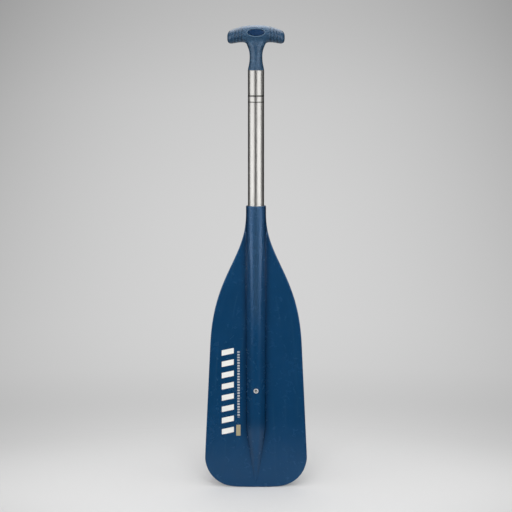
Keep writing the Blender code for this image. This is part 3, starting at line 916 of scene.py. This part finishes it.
# %% Adding nodes
def add(kind, inputs=None, tree=None, **settings):
    """Adds a node. An input that is given a wire is linked, and any other gets the value."""
    inputs = inputs or {}
    wires = [value for value in inputs.values() if isinstance(value, bpy.types.NodeSocket)]
    tree = wires[0].id_data if tree is None else tree
    made = tree.nodes.new(kind)
    for name, value in settings.items():
        setattr(made, name, value)
    for name, value in inputs.items():
        if isinstance(value, bpy.types.NodeSocket):
            tree.links.new(value, made.inputs[name])
        else:
            made.inputs[name].default_value = value
    return made


def lead(sockets, **wires):
    """Links each wire to the socket of its name."""
    for name, wire in wires.items():
        wire.id_data.links.new(wire, sockets[name])


def axes(place):
    """The X, Y and Z of a place."""
    return add("ShaderNodeSeparateXYZ", {0: place}).outputs


def maths(operation, *values):
    return add("ShaderNodeMath", dict(enumerate(values)), operation=operation).outputs[0]


def times(first, *others):
    """Multiplies them all."""
    for other in others:
        first = maths("MULTIPLY", first, other)
    return first


def off(value, centre):
    """How far the value is from the centre, either way."""
    return maths("ABSOLUTE", maths("SUBTRACT", value, centre))


def within(value, centre, reach):
    """One where the value is this near the centre, and zero elsewhere."""
    return maths("COMPARE", value, centre, reach)


def ramp(value, low, high, start=0.0, end=1.0, kind="SMOOTHSTEP"):
    """As the value goes from low to high, the output goes from start to end, with soft ends."""
    inputs = dict(enumerate((value, low, high, start, end)))
    return add("ShaderNodeMapRange", inputs, interpolation_type=kind).outputs[0]


def noise(place, scale, detail=3.0, roughness=0.55, distortion=0.0):
    inputs = {"Vector": place, "Scale": scale, "Detail": detail}
    inputs |= {"Roughness": roughness, "Distortion": distortion}
    return add("ShaderNodeTexNoise", inputs).outputs[0]


def grey(tone):
    return (tone, tone, tone, 1)


def layered(colour, *layers):
    """Lays more colours over the first one, each by its own share."""
    for share, above in layers:
        inputs = {0: share, 6: colour, 7: above}
        colour = add("ShaderNodeMix", inputs, data_type="RGBA").outputs[2]
    return colour


# %% [markdown]
# A few shared effects come first. Each is a node group with a single job that takes a place, so a
# scratch or a rubbed corner looks related on every piece. Moulded plastic takes the grain of its
# tool: fine pimples, stronger in some patches than in others. Drawn metal has hairlines along its
# length in place of it, and a few of them are deep enough to be scratches.

# %% Grain and long marks
def new_group(name, numbers, outputs):
    """An empty node group. Returns it with its input wires and the sockets of its results."""
    group = bpy.data.node_groups.new(name, "ShaderNodeTree")
    sockets = [("Vector", "INPUT", "NodeSocketVector")]
    sockets += [(label, "INPUT", "NodeSocketFloat") for label in numbers]
    sockets += [(label, "OUTPUT", "NodeSocketFloat") for label in outputs]
    for label, way, kind in sockets:
        group.interface.new_socket(name=label, in_out=way, socket_type=kind)
    given = add("NodeGroupInput", tree=group).outputs
    return group, given, add("NodeGroupOutput", tree=group).inputs


grain, given, result = new_group("moulded grain", ["Scale"], ["Height"])
place, scale = given["Vector"], given["Scale"]
cells = add("ShaderNodeTexVoronoi", {"Vector": place, "Scale": scale}).outputs["Distance"]
cloud = noise(place, times(scale, 0.4), 4.0, 0.65)
strength = ramp(noise(place, 26.0), 0.3, 0.7, 0.6, 1.0)
pimples = maths("SUBTRACT", cloud, times(cells, 0.5))
lead(result, Height=times(pimples, strength))

marks, given, result = new_group("long marks", ["Scale"], ["Hairlines", "Scratches"])
flat = {"Vector": given["Vector"], "Scale": (1.0, 1.0, 0.012)}
stretched = add("ShaderNodeMapping", flat).outputs[0]
hairlines = noise(stretched, given["Scale"], 3.0, 0.7)
sparse = ramp(noise(given["Vector"], 14.0, 2.0), 0.5, 0.68)
lead(result, Hairlines=hairlines, Scratches=times(ramp(hairlines, 0.62, 0.7), sparse))
print("groups:", grain.name, "and", marks.name)

# %% [markdown]
# Rubbed corners come from the stored bend, broken up by noise, because nobody wears a corner
# evenly. The Hollow mask is one where the bend is below zero. Handling leaves wide soft patches
# that shine a little more or less, and small smudges in them. The parting line is the hair-thin
# ridge where the two halves of a mould met, in the middle plane of the paddle.

# %% Wear, handling and the parting line
rub, given, result = new_group("rubbed corners", ["Reach"], ["Rubbed", "Hollow"])
bend = add("ShaderNodeAttribute", tree=rub, attribute_name="bend").outputs["Fac"]
broken = ramp(noise(given["Vector"], 90.0, 5.0, 0.7), 0.32, 0.68)
worn = times(bend, given["Reach"], broken)
lead(result, Rubbed=ramp(worn, 0.12, 0.9), Hollow=ramp(bend, -0.05, -0.5))

handling, given, result = new_group("handling", [], ["Sheen", "Smudge"])
wide = noise(given["Vector"], 11.0, 3.0)
small = noise(given["Vector"], 75.0, 5.0, 0.6, 0.6)
lead(result, Sheen=ramp(wide, 0.3, 0.7), Smudge=ramp(small, 0.45, 0.75))

parting, given, result = new_group("parting line", [], ["Ridge"])
from_middle = maths("ABSOLUTE", axes(given["Vector"])["Y"])
lead(result, Ridge=ramp(from_middle, 0.00005, 0.00022, 1.0, 0.0))
print("groups:", rub.name, handling.name, parting.name)

# %% [markdown]
# Each finish starts the same way, with its constants on the shader, and ends the same way, with
# its colour, roughness and relief led there. The relief is a stack of bumps, each with its real
# height in metres.

# %% Starting and ending a finish
def start(name, constants=None):
    """A new material, with these constants on its shader, and its Object coordinates."""
    made = bpy.data.materials.new(name)
    made.use_nodes = True
    tree = made.node_tree
    for label, value in (constants or {}).items():
        tree.nodes["Principled BSDF"].inputs[label].default_value = value
    return made, add("ShaderNodeTexCoord", tree=tree).outputs["Object"]


def effect(group, place, **inputs):
    """Uses one of the shared groups at this place and returns its outputs."""
    return add("ShaderNodeGroup", {"Vector": place, **inputs}, node_tree=group).outputs


def relief(*bumps):
    """Stacks bumps, each a height and the metres that a height of one stands for."""
    stack = {}
    for height, metres in bumps:
        inputs = {"Height": height, "Distance": metres, **stack}
        stack = {"Normal": add("ShaderNodeBump", inputs).outputs[0]}
    return stack["Normal"]


def paint(finish, *pieces):
    for piece in pieces:
        piece.data.materials.clear()
        piece.data.materials.append(finish)


def dress(finish, pieces, colour, roughness, normal, **others):
    """Leads the wires to the finish's shader and puts it on the pieces."""
    wires = {"Base Color": colour, "Roughness": roughness, "Normal": normal, **others}
    lead(finish.node_tree.nodes["Principled BSDF"].inputs, **wires)
    paint(finish, *pieces)


# %% [markdown]
# The blade is deep blue polypropylene with a soft shine. On its front are printed a column of
# plain slanted bars, a row of dashes and a small buff block. Each is a mask: one where there is
# ink, and zero elsewhere. The slant comes from adding a share of X to the height.

# %% Blade: print
BARS, BAR_LOW, BAR_PITCH, BAR_SHARE, BAR_SLANT = 8, 0.103, 0.0226, 0.24, -0.21
BAR_X, BAR_HALF_WIDTH = -0.0558, 0.0119
BAR_COLUMN = BARS * BAR_PITCH / 2
DASH_PITCH, DASH_SHARE = 0.0055, 0.30


def patch(x, z, middle, halves):
    """One inside this rectangle and zero outside."""
    return times(within(x, middle[0], halves[0]), within(z, middle[1], halves[1]))


blade_finish, place = start(
    "blade_plastic", {"Specular IOR Level": 0.6, "Specular Tint": (0.52, 0.72, 1.0, 1)}
)
x, y, z = axes(place)
side = maths("ABSOLUTE", x)
front = maths("LESS_THAN", y, -0.001)
level = maths("MULTIPLY_ADD", x, BAR_SLANT, z)
level = maths("SUBTRACT", level, BAR_LOW + BAR_SLANT * BAR_X)
beat = maths("FRACT", maths("DIVIDE", level, BAR_PITCH))
bars = patch(x, level, (BAR_X, BAR_COLUMN), (BAR_HALF_WIDTH, BAR_COLUMN))
bars = times(bars, within(beat, 0.5, BAR_SHARE), front)
dash = maths("FRACT", maths("DIVIDE", z, DASH_PITCH))
dashes = patch(x, z, (-0.0345, 0.2080), (0.0023, 0.0670))
dashes = times(dashes, within(dash, 0.5, DASH_SHARE), front)
block = times(patch(x, z, (-0.0350, 0.1150), (0.0042, 0.0110)), front)

# %% [markdown]
# Where the plastic flowed round the spine in the mould it left faint lines that follow the
# outline: a curve gives their distance from the middle at each height. The end of the core that
# made the socket left one more line, across the crown.

# %% Blade: flow lines and witness line
FLOW_TRACK = (
    (0.158, 0.0581), (0.257, 0.0532), (0.316, 0.0483), (0.356, 0.0434), (0.395, 0.0335),
    (0.43, 0.022),
)
SECOND_TRACK = 0.024
CORE_END_Z = 0.4815

path = add("ShaderNodeFloatCurve", {"Value": z})
track = path.mapping.curves[0].points
track[0].location, track[1].location = (0.0, 0.063), (1.0, 0.0)
for height, out in FLOW_TRACK:
    track.new(height, out)
path.mapping.update()
from_track = off(side, path.outputs[0])
first = ramp(from_track, 0.0, 0.0022, 1.0, 0.0)
second = ramp(off(from_track, SECOND_TRACK), 0.0, 0.0030, 0.7, 0.0)
flow = times(maths("ADD", first, second), ramp(noise(place, 17.0), 0.42, 0.62))
witness = ramp(off(z, CORE_END_Z), 0.0, 0.0006, 1.0, 0.0)
witness = times(witness, front, within(x, 0.0, 0.0105))

# %% [markdown]
# The plastic is dyed right through, so a rubbed corner only turns paler. The crown near the socket
# is painted paler and greyer, a painted reflection of the dim light between the softboxes. A
# painted
# shade lies in the corner along the spine's foot. Its line follows the same taper as the shape:
# narrower downwards, a wedge and a nose.

# %% Blade: colour
DEEP_BLUE, SHEEN_BLUE = (0.0005, 0.034, 0.097, 1), (0.0009, 0.038, 0.108, 1)
WORN_BLUE, CROWN_REFLECTION_BLUE = (0.030, 0.095, 0.175, 1), (0.045, 0.082, 0.125, 1)
SHADE_AND_LINE_BLUE = (0.0004, 0.010, 0.034, 1)
INK, BUFF = (0.80, 0.79, 0.75, 1), (0.36, 0.31, 0.19, 1)

hand = effect(handling, place)
scored = effect(marks, place, Scale=520.0)
rubbed = times(effect(rub, place, Reach=1.6)["Rubbed"], 0.32)
rubbed = maths("MULTIPLY_ADD", scored["Scratches"], 0.03, rubbed)
foot = ramp(z, FOOT_TAPER, ARCH, ARCH_FOOT * (1 - FOOT_NARROWING), ARCH_FOOT, "LINEAR")
wedge = ramp(z, FOOT_MEETING, FOOT_TAPER, kind="LINEAR")
nose = ramp(z, SPINE_END, SPINE_END + SPINE_NOSE)
from_foot = off(side, times(foot, wedge, nose))
clear = maths("POWER", ramp(from_foot, -0.001, 0.012), 0.55)
# painted shade along the spine's foot, fading out near the tip
foot_shade = times(maths("SUBTRACT", 1.0, clear), ramp(z, 0.02, 0.13, 0.0, 0.75))
# painted reflection: the crown near the socket is paler and greyer between its two highlights
crown_reflection = times(ramp(side, 0.0085, 0.0015), ramp(z, 0.30, 0.38, 0.0, 0.36))
worn_ink = ramp(noise(place, 420.0, 4.0, 0.7), 0.22, 0.4, 0.86, 1.0)
blue = layered(
    DEEP_BLUE,
    (hand["Sheen"], SHEEN_BLUE),
    (rubbed, WORN_BLUE),
    (foot_shade, SHADE_AND_LINE_BLUE),
    (times(flow, 0.16), WORN_BLUE),
    (crown_reflection, CROWN_REFLECTION_BLUE),
    (times(witness, 0.5), SHADE_AND_LINE_BLUE),
    (times(dashes, 0.55), INK),
    (block, BUFF),
    (times(bars, worn_ink), INK),
)

# %% [markdown]
# Smudges and wide patches change the shine a little. The grain is very fine. The flow lines, the
# witness line and the parting line stand up by a tenth to a quarter of a millimetre.

# %% Blade: shine and relief
satin = ramp(hand["Smudge"], 0.0, 1.0, 0.235, 0.275)
satin = maths("MULTIPLY_ADD", hand["Sheen"], 0.03, satin)
raised = relief(
    (effect(grain, place, Scale=850.0)["Height"], 0.000011),
    (flow, 0.00012),
    (witness, 0.00025),
    (effect(parting, place)["Ridge"], 0.00010),
    (scored["Scratches"], -0.000004),
)
dress(blade_finish, [blade], blue, satin, raised)

# %% [markdown]
# The shaft is drawn aluminium, etched to a satin. Metal has hardly a colour of its own: it shows
# the studio in bands along the tube, and its fine lines blur them sideways, which is what the
# tangent round the axis is for. Two thin dark rings are printed near the top.

# %% Shaft finish
tube_finish, place = start("tube_aluminium", {"Metallic": 1.0, "Anisotropic": 0.3})
around = {"tree": tube_finish.node_tree, "direction_type": "RADIAL", "axis": "Z"}
around = add("ShaderNodeTangent", **around).outputs[0]
z = axes(place)["Z"]
hand = effect(handling, place)
drawn = effect(marks, place, Scale=1500.0)
rings = maths("MAXIMUM", within(z, 0.7655, 0.0010), within(z, 0.7775, 0.0016))
silver = layered(
    (0.37, 0.365, 0.35, 1),
    (drawn["Hairlines"], (0.43, 0.425, 0.41, 1)),
    (times(hand["Smudge"], 0.25), (0.33, 0.325, 0.31, 1)),
    (drawn["Scratches"], (0.52, 0.515, 0.50, 1)),
    (times(rings, 0.85), (0.035, 0.034, 0.033, 1)),
)
brushed = ramp(hand["Sheen"], 0.0, 1.0, 0.29, 0.32)
brushed = maths("MULTIPLY_ADD", hand["Smudge"], 0.03, brushed)
raised = relief((drawn["Hairlines"], 0.000003), (drawn["Scratches"], -0.000006))
dress(tube_finish, [tube], silver, brushed, raised, Tangent=around)

# %% [markdown]
# The grip is a softer blue with a coarse stipple that keeps a wet hand from slipping. The tops of
# the stipple are painted paler, a painted glint. The grooves between the ribs are painted darker, a
# painted shade, and the lip round the oval is painted paler, a painted highlight where its edge
# catches the light. The oval plate is the same dye, but smooth.

# %% Grip and plate finishes
LIP = 0.0017
RIB_FADE = 0.003
# colour of the rubbed corners and of the painted highlight on the oval's lip
WORN_AND_LIT_GRIP = (0.11, 0.18, 0.26, 1)

grip_finish, place = start("grip_plastic", {"Specular Tint": (0.84, 0.90, 1.0, 1)})
x, y, z = axes(place)
side = maths("ABSOLUTE", x)
hand = effect(handling, place)
stipple = effect(grain, place, Scale=600.0)["Height"]
turns = times(maths("SUBTRACT", side, RIB_START), math.tau / RIB_PITCH)
groove_shade = maths("MULTIPLY_ADD", maths("COSINE", turns), 0.5, 0.5)
inner_end = ramp(side, RIB_START, RIB_START + RIB_FADE)
outer_end = ramp(side, RIB_END, RIB_END - RIB_FADE)
spread = maths("DIVIDE", x, OVAL_HALF_WIDTH + LIP)
rise = maths("DIVIDE", maths("SUBTRACT", z, OVAL_Z), OVAL_HALF_HEIGHT + LIP)
round_oval = maths("MULTIPLY_ADD", spread, spread, times(rise, rise))
# painted highlight on the lip round the oval
lip_highlight = times(ramp(round_oval, 1.12, 0.80, 0.0, 0.6), maths("LESS_THAN", y, 0.0))
blue = layered(
    (0.010, 0.038, 0.080, 1),
    (hand["Sheen"], (0.014, 0.048, 0.098, 1)),
    # painted glint: the tops of the stipple are paler
    (ramp(stipple, 0.15, 0.45, 0.0, 0.65), (0.055, 0.115, 0.185, 1)),
    # painted shade in the grooves between the ribs
    (times(groove_shade, inner_end, outer_end, 0.8), (0.002, 0.020, 0.046, 1)),
    (lip_highlight, WORN_AND_LIT_GRIP),
    (times(effect(rub, place, Reach=3.0)["Rubbed"], 0.5), WORN_AND_LIT_GRIP),
)
matt = ramp(hand["Smudge"], 0.0, 1.0, 0.33, 0.42)
raised = relief((stipple, 0.00014), (effect(parting, place)["Ridge"], 0.00012))
dress(grip_finish, [grip], blue, matt, raised)

plate_finish, place = start("plate_plastic", {"Specular IOR Level": 0.35})
hand = effect(handling, place)
blue = layered(
    (0.0010, 0.020, 0.064, 1),
    (hand["Sheen"], (0.0014, 0.024, 0.076, 1)),
    (times(effect(rub, place, Reach=1.0)["Rubbed"], 0.4), (0.045, 0.10, 0.20, 1)),
)
smooth_dye = ramp(hand["Smudge"], 0.0, 1.0, 0.28, 0.40)
raised = relief((effect(grain, place, Scale=1400.0)["Height"], 0.00001))
dress(plate_finish, [plate], blue, smooth_dye, raised)

# %% [markdown]
# The rivets are pressed aluminium, darker where the surface turns in, and the middle of each flange
# round the stem is painted near black, a painted shade in its recess. Their stems are steel, with
# the rough end that is left where a stem snaps off; towards its rim it is painted dark, a painted
# shade in the gap round it.

# %% Rivet finishes
def from_rivet(place):
    """How far a point lies from the middle of the nearer rivet, seen from the front."""
    x, _, z = axes(place)
    above = maths("MINIMUM", off(z, RIVET_Z), off(z, GRIP_RIVET_Z))
    return maths("SQRT", maths("MULTIPLY_ADD", above, above, times(x, x)))


rivet_finish, place = start("rivet_metal", {"Metallic": 1.0})
corner = effect(rub, place, Reach=1.0)
metal = layered(
    (0.92, 0.91, 0.90, 1),
    (effect(handling, place)["Smudge"], (0.80, 0.79, 0.78, 1)),
    # painted shade: the middle of the flange round the stem is near black
    (ramp(from_rivet(place), 0.0031, 0.0025), grey(0.02)),
    # darker where the surface turns in
    (corner["Hollow"], grey(0.10)),
    (corner["Rubbed"], (0.88, 0.88, 0.87, 1)),
)
pressed = ramp(noise(place, 600.0), 0.3, 0.7, 0.42, 0.55)
dress(rivet_finish, rivets, metal, pressed, relief((noise(place, 1800.0, 4.0), 0.00002)))

stem_finish, place = start("stem_metal", {"Metallic": 1.0})
torn = noise(place, 2600.0, 5.0, 0.75)
metal = layered(
    grey(0.66),
    (ramp(torn, 0.35, 0.7), (0.90, 0.90, 0.89, 1)),
    (effect(rub, place, Reach=1.0)["Rubbed"], (0.93, 0.93, 0.92, 1)),
    # painted shade at the rim of the stem's end
    (ramp(from_rivet(place), 0.0008, 0.0014), grey(0.03)),
)
snapped = ramp(torn, 0.3, 0.7, 0.50, 0.65)
dress(stem_finish, stems, metal, snapped, relief((torn, 0.00006)))

# %% [markdown]
# The foam and the plug stay as the CAD model made them. They are sealed in the tube, but get real
# finishes too: closed foam cells, and plain black moulded plastic.

# %% Foam and plug finishes
foam_finish, place = start("foam")
cells = add("ShaderNodeTexVoronoi", {"Vector": place, "Scale": 700.0}).outputs["Distance"]
cream = layered(
    (0.74, 0.73, 0.67, 1),
    (ramp(noise(place, 60.0, 4.0), 0.3, 0.7), (0.83, 0.82, 0.78, 1)),
    (ramp(cells, 0.45, 0.75, 0.0, 0.5), (0.60, 0.59, 0.53, 1)),
)
open_cells = ramp(cells, 0.0, 0.7, 0.95, 0.80)
dress(foam_finish, [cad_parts["foam_core"]], cream, open_cells, relief((cells, -0.0002)))

plug_finish, place = start("plug_plastic")
hand = effect(handling, place)
black = layered((0.014, 0.014, 0.015, 1), (hand["Sheen"], (0.030, 0.030, 0.032, 1)))
matt = ramp(hand["Smudge"], 0.0, 1.0, 0.42, 0.58)
raised = relief((effect(grain, place, Scale=900.0)["Height"], 0.00004))
dress(plug_finish, [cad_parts["shaft_plug"]], black, matt, raised)
print(len(bpy.data.materials), "materials")

# %% [markdown]
# ## Studio
# The paddle stands on a pale floor that runs on into the distance, with no wall, so it can be seen
# from any side. Near the paddle the floor is plain matt white and takes real light and shadow.
# Further off its tone is painted light and shade: it dips a little, rises, and falls away to grey
# far behind, and it darkens towards both sides, where the light falls off at the edges of a
# picture.

# %% Floor
EYE_DISTANCE, EYE_HEIGHT = 4.3653, 1.0087
HALF_VIEW = 0.1054
ASIDE_SHARE = 0.7
FAR_TONE, NEAR_TONE = 0.47, 0.69
FLOOR_TONES = (
    (0.12, 0.535), (0.24, 0.60), (0.42, 0.645), (0.66, 0.66), (0.76, 0.635), (0.81, 0.588),
    (0.845, 0.59), (0.885, 0.645), (0.925, 0.685), (0.955, 0.655),
)


def show(finish, result, *pieces):
    """Leads this shader node to the finish's surface and paints the pieces with it."""
    lead(finish.node_tree.nodes["Material Output"].inputs, Surface=result.outputs[0])
    paint(finish, *pieces)


bpy.ops.mesh.primitive_circle_add(vertices=128, radius=150, fill_type="NGON")
floor = named("studio_floor")

matt_white = {"Base Color": grey(0.745), "Roughness": 0.9, "Specular IOR Level": 0.0}
floor_finish, place = start("studio_floor", matt_white)
x, y, _ = axes(place)
aside, depth = maths("ABSOLUTE", x), maths("ABSOLUTE", y)
squeezed = maths("POWER", times(aside, ASIDE_SHARE), 2.0)
reach = maths("SQRT", maths("MULTIPLY_ADD", depth, depth, squeezed))
range_out = maths("ADD", reach, EYE_DISTANCE)
slope = maths("DIVIDE", EYE_HEIGHT, range_out)
steepness = maths("DIVIDE", slope, EYE_HEIGHT / EYE_DISTANCE)
tones = add("ShaderNodeValToRGB", {"Fac": steepness})
tones.color_ramp.interpolation = "B_SPLINE"
stops = tones.color_ramp.elements
stops[0].position, stops[0].color = 0.0, grey(FAR_TONE)
stops[1].position, stops[1].color = 1.0, grey(NEAR_TONE)
for share, tone in FLOOR_TONES:
    stops.new(share).color = grey(tone)
view_side = maths("DIVIDE", maths("DIVIDE", aside, range_out), HALF_VIEW)
view_side = maths("MINIMUM", maths("POWER", view_side, 2.0), 1.3)
# painted falloff of light towards both sides
fall = times(maths("MULTIPLY_ADD", slope, -0.8, 0.27), view_side)
painted = times(tones.outputs["Color"], maths("SUBTRACT", 1.0, fall))
light = add("ShaderNodeLightPath", tree=floor_finish.node_tree).outputs
mirrored = maths("ADD", light["Is Glossy Ray"], light["Is Transmission Ray"])
seen = maths("MINIMUM", maths("ADD", light["Is Camera Ray"], mirrored), 1.0)
far = times(ramp(reach, 0.22, 0.6), seen)
matt = floor_finish.node_tree.nodes["Principled BSDF"]
glow = add("ShaderNodeEmission", {"Color": painted})
both = add("ShaderNodeMixShader", {0: far, 1: matt.outputs[0], 2: glow.outputs[0]})
show(floor_finish, both, floor)

# %% [markdown]
# A studio photographer lays black cloth where a glossy blade would mirror the floor, and stands
# black flags beside a tube to draw its dark edges. These do the same: only reflections see them.
# The cloth starts as pale as the floor, is black from half a metre on, and turns grey four
# metres out.

# %% Black cloth and flags
CLOTH_RADIUS, CLOTH_HOLE, CLOTH_END_Y = 140, 0.38, 0.15
FLAG_ANGLE, FLAG_DISTANCE = math.radians(132), 0.85


def only_reflections(obj):
    obj.visible_camera = obj.visible_diffuse = obj.visible_shadow = False
    obj.visible_transmission = obj.visible_volume_scatter = False


bpy.ops.mesh.primitive_circle_add(
    vertices=128, radius=CLOTH_RADIUS, fill_type="NGON", location=(0, 0, 0.002)
)
cloth = named("black_cloth")
settle(cloth)
edit(cloth, everything=True)
bpy.ops.mesh.inset(thickness=CLOTH_RADIUS - CLOTH_HOLE)
bpy.ops.mesh.delete(type="FACE")
bpy.ops.mesh.select_all(action="SELECT")
bpy.ops.mesh.bisect(plane_co=(0, CLOTH_END_Y, 0), plane_no=(0, 1, 0), clear_outer=True)
leave()
only_reflections(cloth)

cloth_finish, place = start("black_cloth")
reach = add("ShaderNodeVectorMath", {0: place}, operation="LENGTH").outputs["Value"]
tone = ramp(reach, CLOTH_HOLE, 0.50, 0.45, 0.02)
tone = maths("ADD", tone, ramp(reach, 4.0, 5.0, 0.0, 0.36))
show(cloth_finish, add("ShaderNodeEmission", {"Color": tone}), cloth)

flags = []
for name, way in (("left", -1), ("right", 1)):
    turn_out = FLAG_ANGLE * way
    bpy.ops.mesh.primitive_plane_add(
        size=1,
        location=(FLAG_DISTANCE * math.sin(turn_out), -FLAG_DISTANCE * math.cos(turn_out), 0.7),
        rotation=(math.pi / 2, 0, turn_out),
    )
    flag = named(f"black_flag_{name}")
    flag.scale = (0.90, 1.5, 1)
    settle(flag)
    only_reflections(flag)
    flags.append(flag)
flag_finish, place = start("black_flag")
shade = ramp(noise(place, 3.0), 0.3, 0.7, 0.02, 0.035)
show(flag_finish, add("ShaderNodeEmission", {"Color": shade}), *flags)

# %% [markdown]
# Two tall softboxes stand either side of the camera and draw the long highlights of the shaft.
# Two low ones draw the softer pair of lines on the socket and the upper spine. Only reflections
# see these four and the wide rim lamp above and behind, which draws the pale line along the top
# of the grip. The lamps overhead and in front do the lighting, and a weaker one behind is for the
# views of the back. Reflections see the room as dark on the camera's side, grey overhead, and as
# pale as the backdrop beyond the paddle.

# %% Lamps
SOFTBOX_DISTANCE = 1.05
SIDE_BOXES = (
    # name, angle from the camera's side, lower and upper edge, width, brightness
    ("left", -56, 0.45, 1.25, 1.31, 2.12),
    ("right", 43.5, 0.45, 1.25, 1.19, 2.2),
    ("low_left", -58, 0.28, 0.385, 0.76, 5.8),
    ("low_right", 56, 0.28, 0.385, 0.76, 5.8),
)


def towards(place, target):
    """The turn that points a lamp or a camera from its place at the target."""
    return (Vector(target) - Vector(place)).to_track_quat("-Z", "Y").to_euler()


def softbox(name, place, target, width, height, watts):
    bpy.ops.object.light_add(type="AREA", location=place, rotation=towards(place, target))
    lamp = named(f"softbox_{name}")
    lamp.data.shape = "RECTANGLE"
    lamp.data.size, lamp.data.size_y = width, height
    lamp.data.energy = watts
    lamp.visible_camera = False
    return lamp


for name, degrees, low, high, width, brightness in SIDE_BOXES:
    turn_out = math.radians(degrees)
    middle, height = (low + high) / 2, high - low
    across, back = SOFTBOX_DISTANCE * math.sin(turn_out), -SOFTBOX_DISTANCE * math.cos(turn_out)
    watts = brightness * math.pi * width * height
    box = softbox(name, (across, back, middle), (0, 0, middle), width, height, watts)
    box.visible_diffuse = False
softbox("overhead", (0, -0.45, 2.2), (0, 0, 0.5), 1.6, 1.2, 16.0)
front = softbox("front", (0, -3.2, 2.1), (0, 0, 0.45), 1.8, 1.3, 80.0)
front.visible_glossy = False
rear = softbox("rear", (0, 1.6, 1.9), (0, 0, 0.7), 1.8, 1.0, 8.5)
rear.data.use_shadow = False
rim = softbox("rim", (0, 0.8, 2.55), (0, 0, 0.88), 3.6, 1.5, 66.0)
rim.visible_diffuse = False

world = bpy.data.worlds.new("room")
bpy.context.scene.world = world
world.use_nodes = True
tree = world.node_tree
light = add("ShaderNodeLightPath", tree=tree).outputs
seen = maths("MAXIMUM", light["Is Camera Ray"], light["Is Transmission Ray"])
_, y, z = axes(add("ShaderNodeTexCoord", tree=tree).outputs["Generated"])
ahead = times(ramp(y, -0.2, 0.3), light["Is Glossy Ray"])
dim = times(ramp(z, 0.15, 0.6, 1.0, 0.0), light["Is Glossy Ray"])
room = layered(grey(0.37), (dim, grey(0.03)), (maths("MAXIMUM", ahead, seen), grey(0.475)))
lead(tree.nodes["Background"].inputs, Color=room)

# %% [markdown]
# ## Camera
# The photograph was taken from well back with a long lens, a little above the paddle's middle.

# %% Camera
eye, target = (0, -EYE_DISTANCE, EYE_HEIGHT), (0, 0, 0.4629)
bpy.ops.object.camera_add(location=eye, rotation=towards(eye, target))
camera = bpy.context.object
camera.data.lens = 157.46
camera.data.clip_end = 1000
bpy.context.scene.camera = camera
bpy.context.scene.view_settings.view_transform = "Standard"
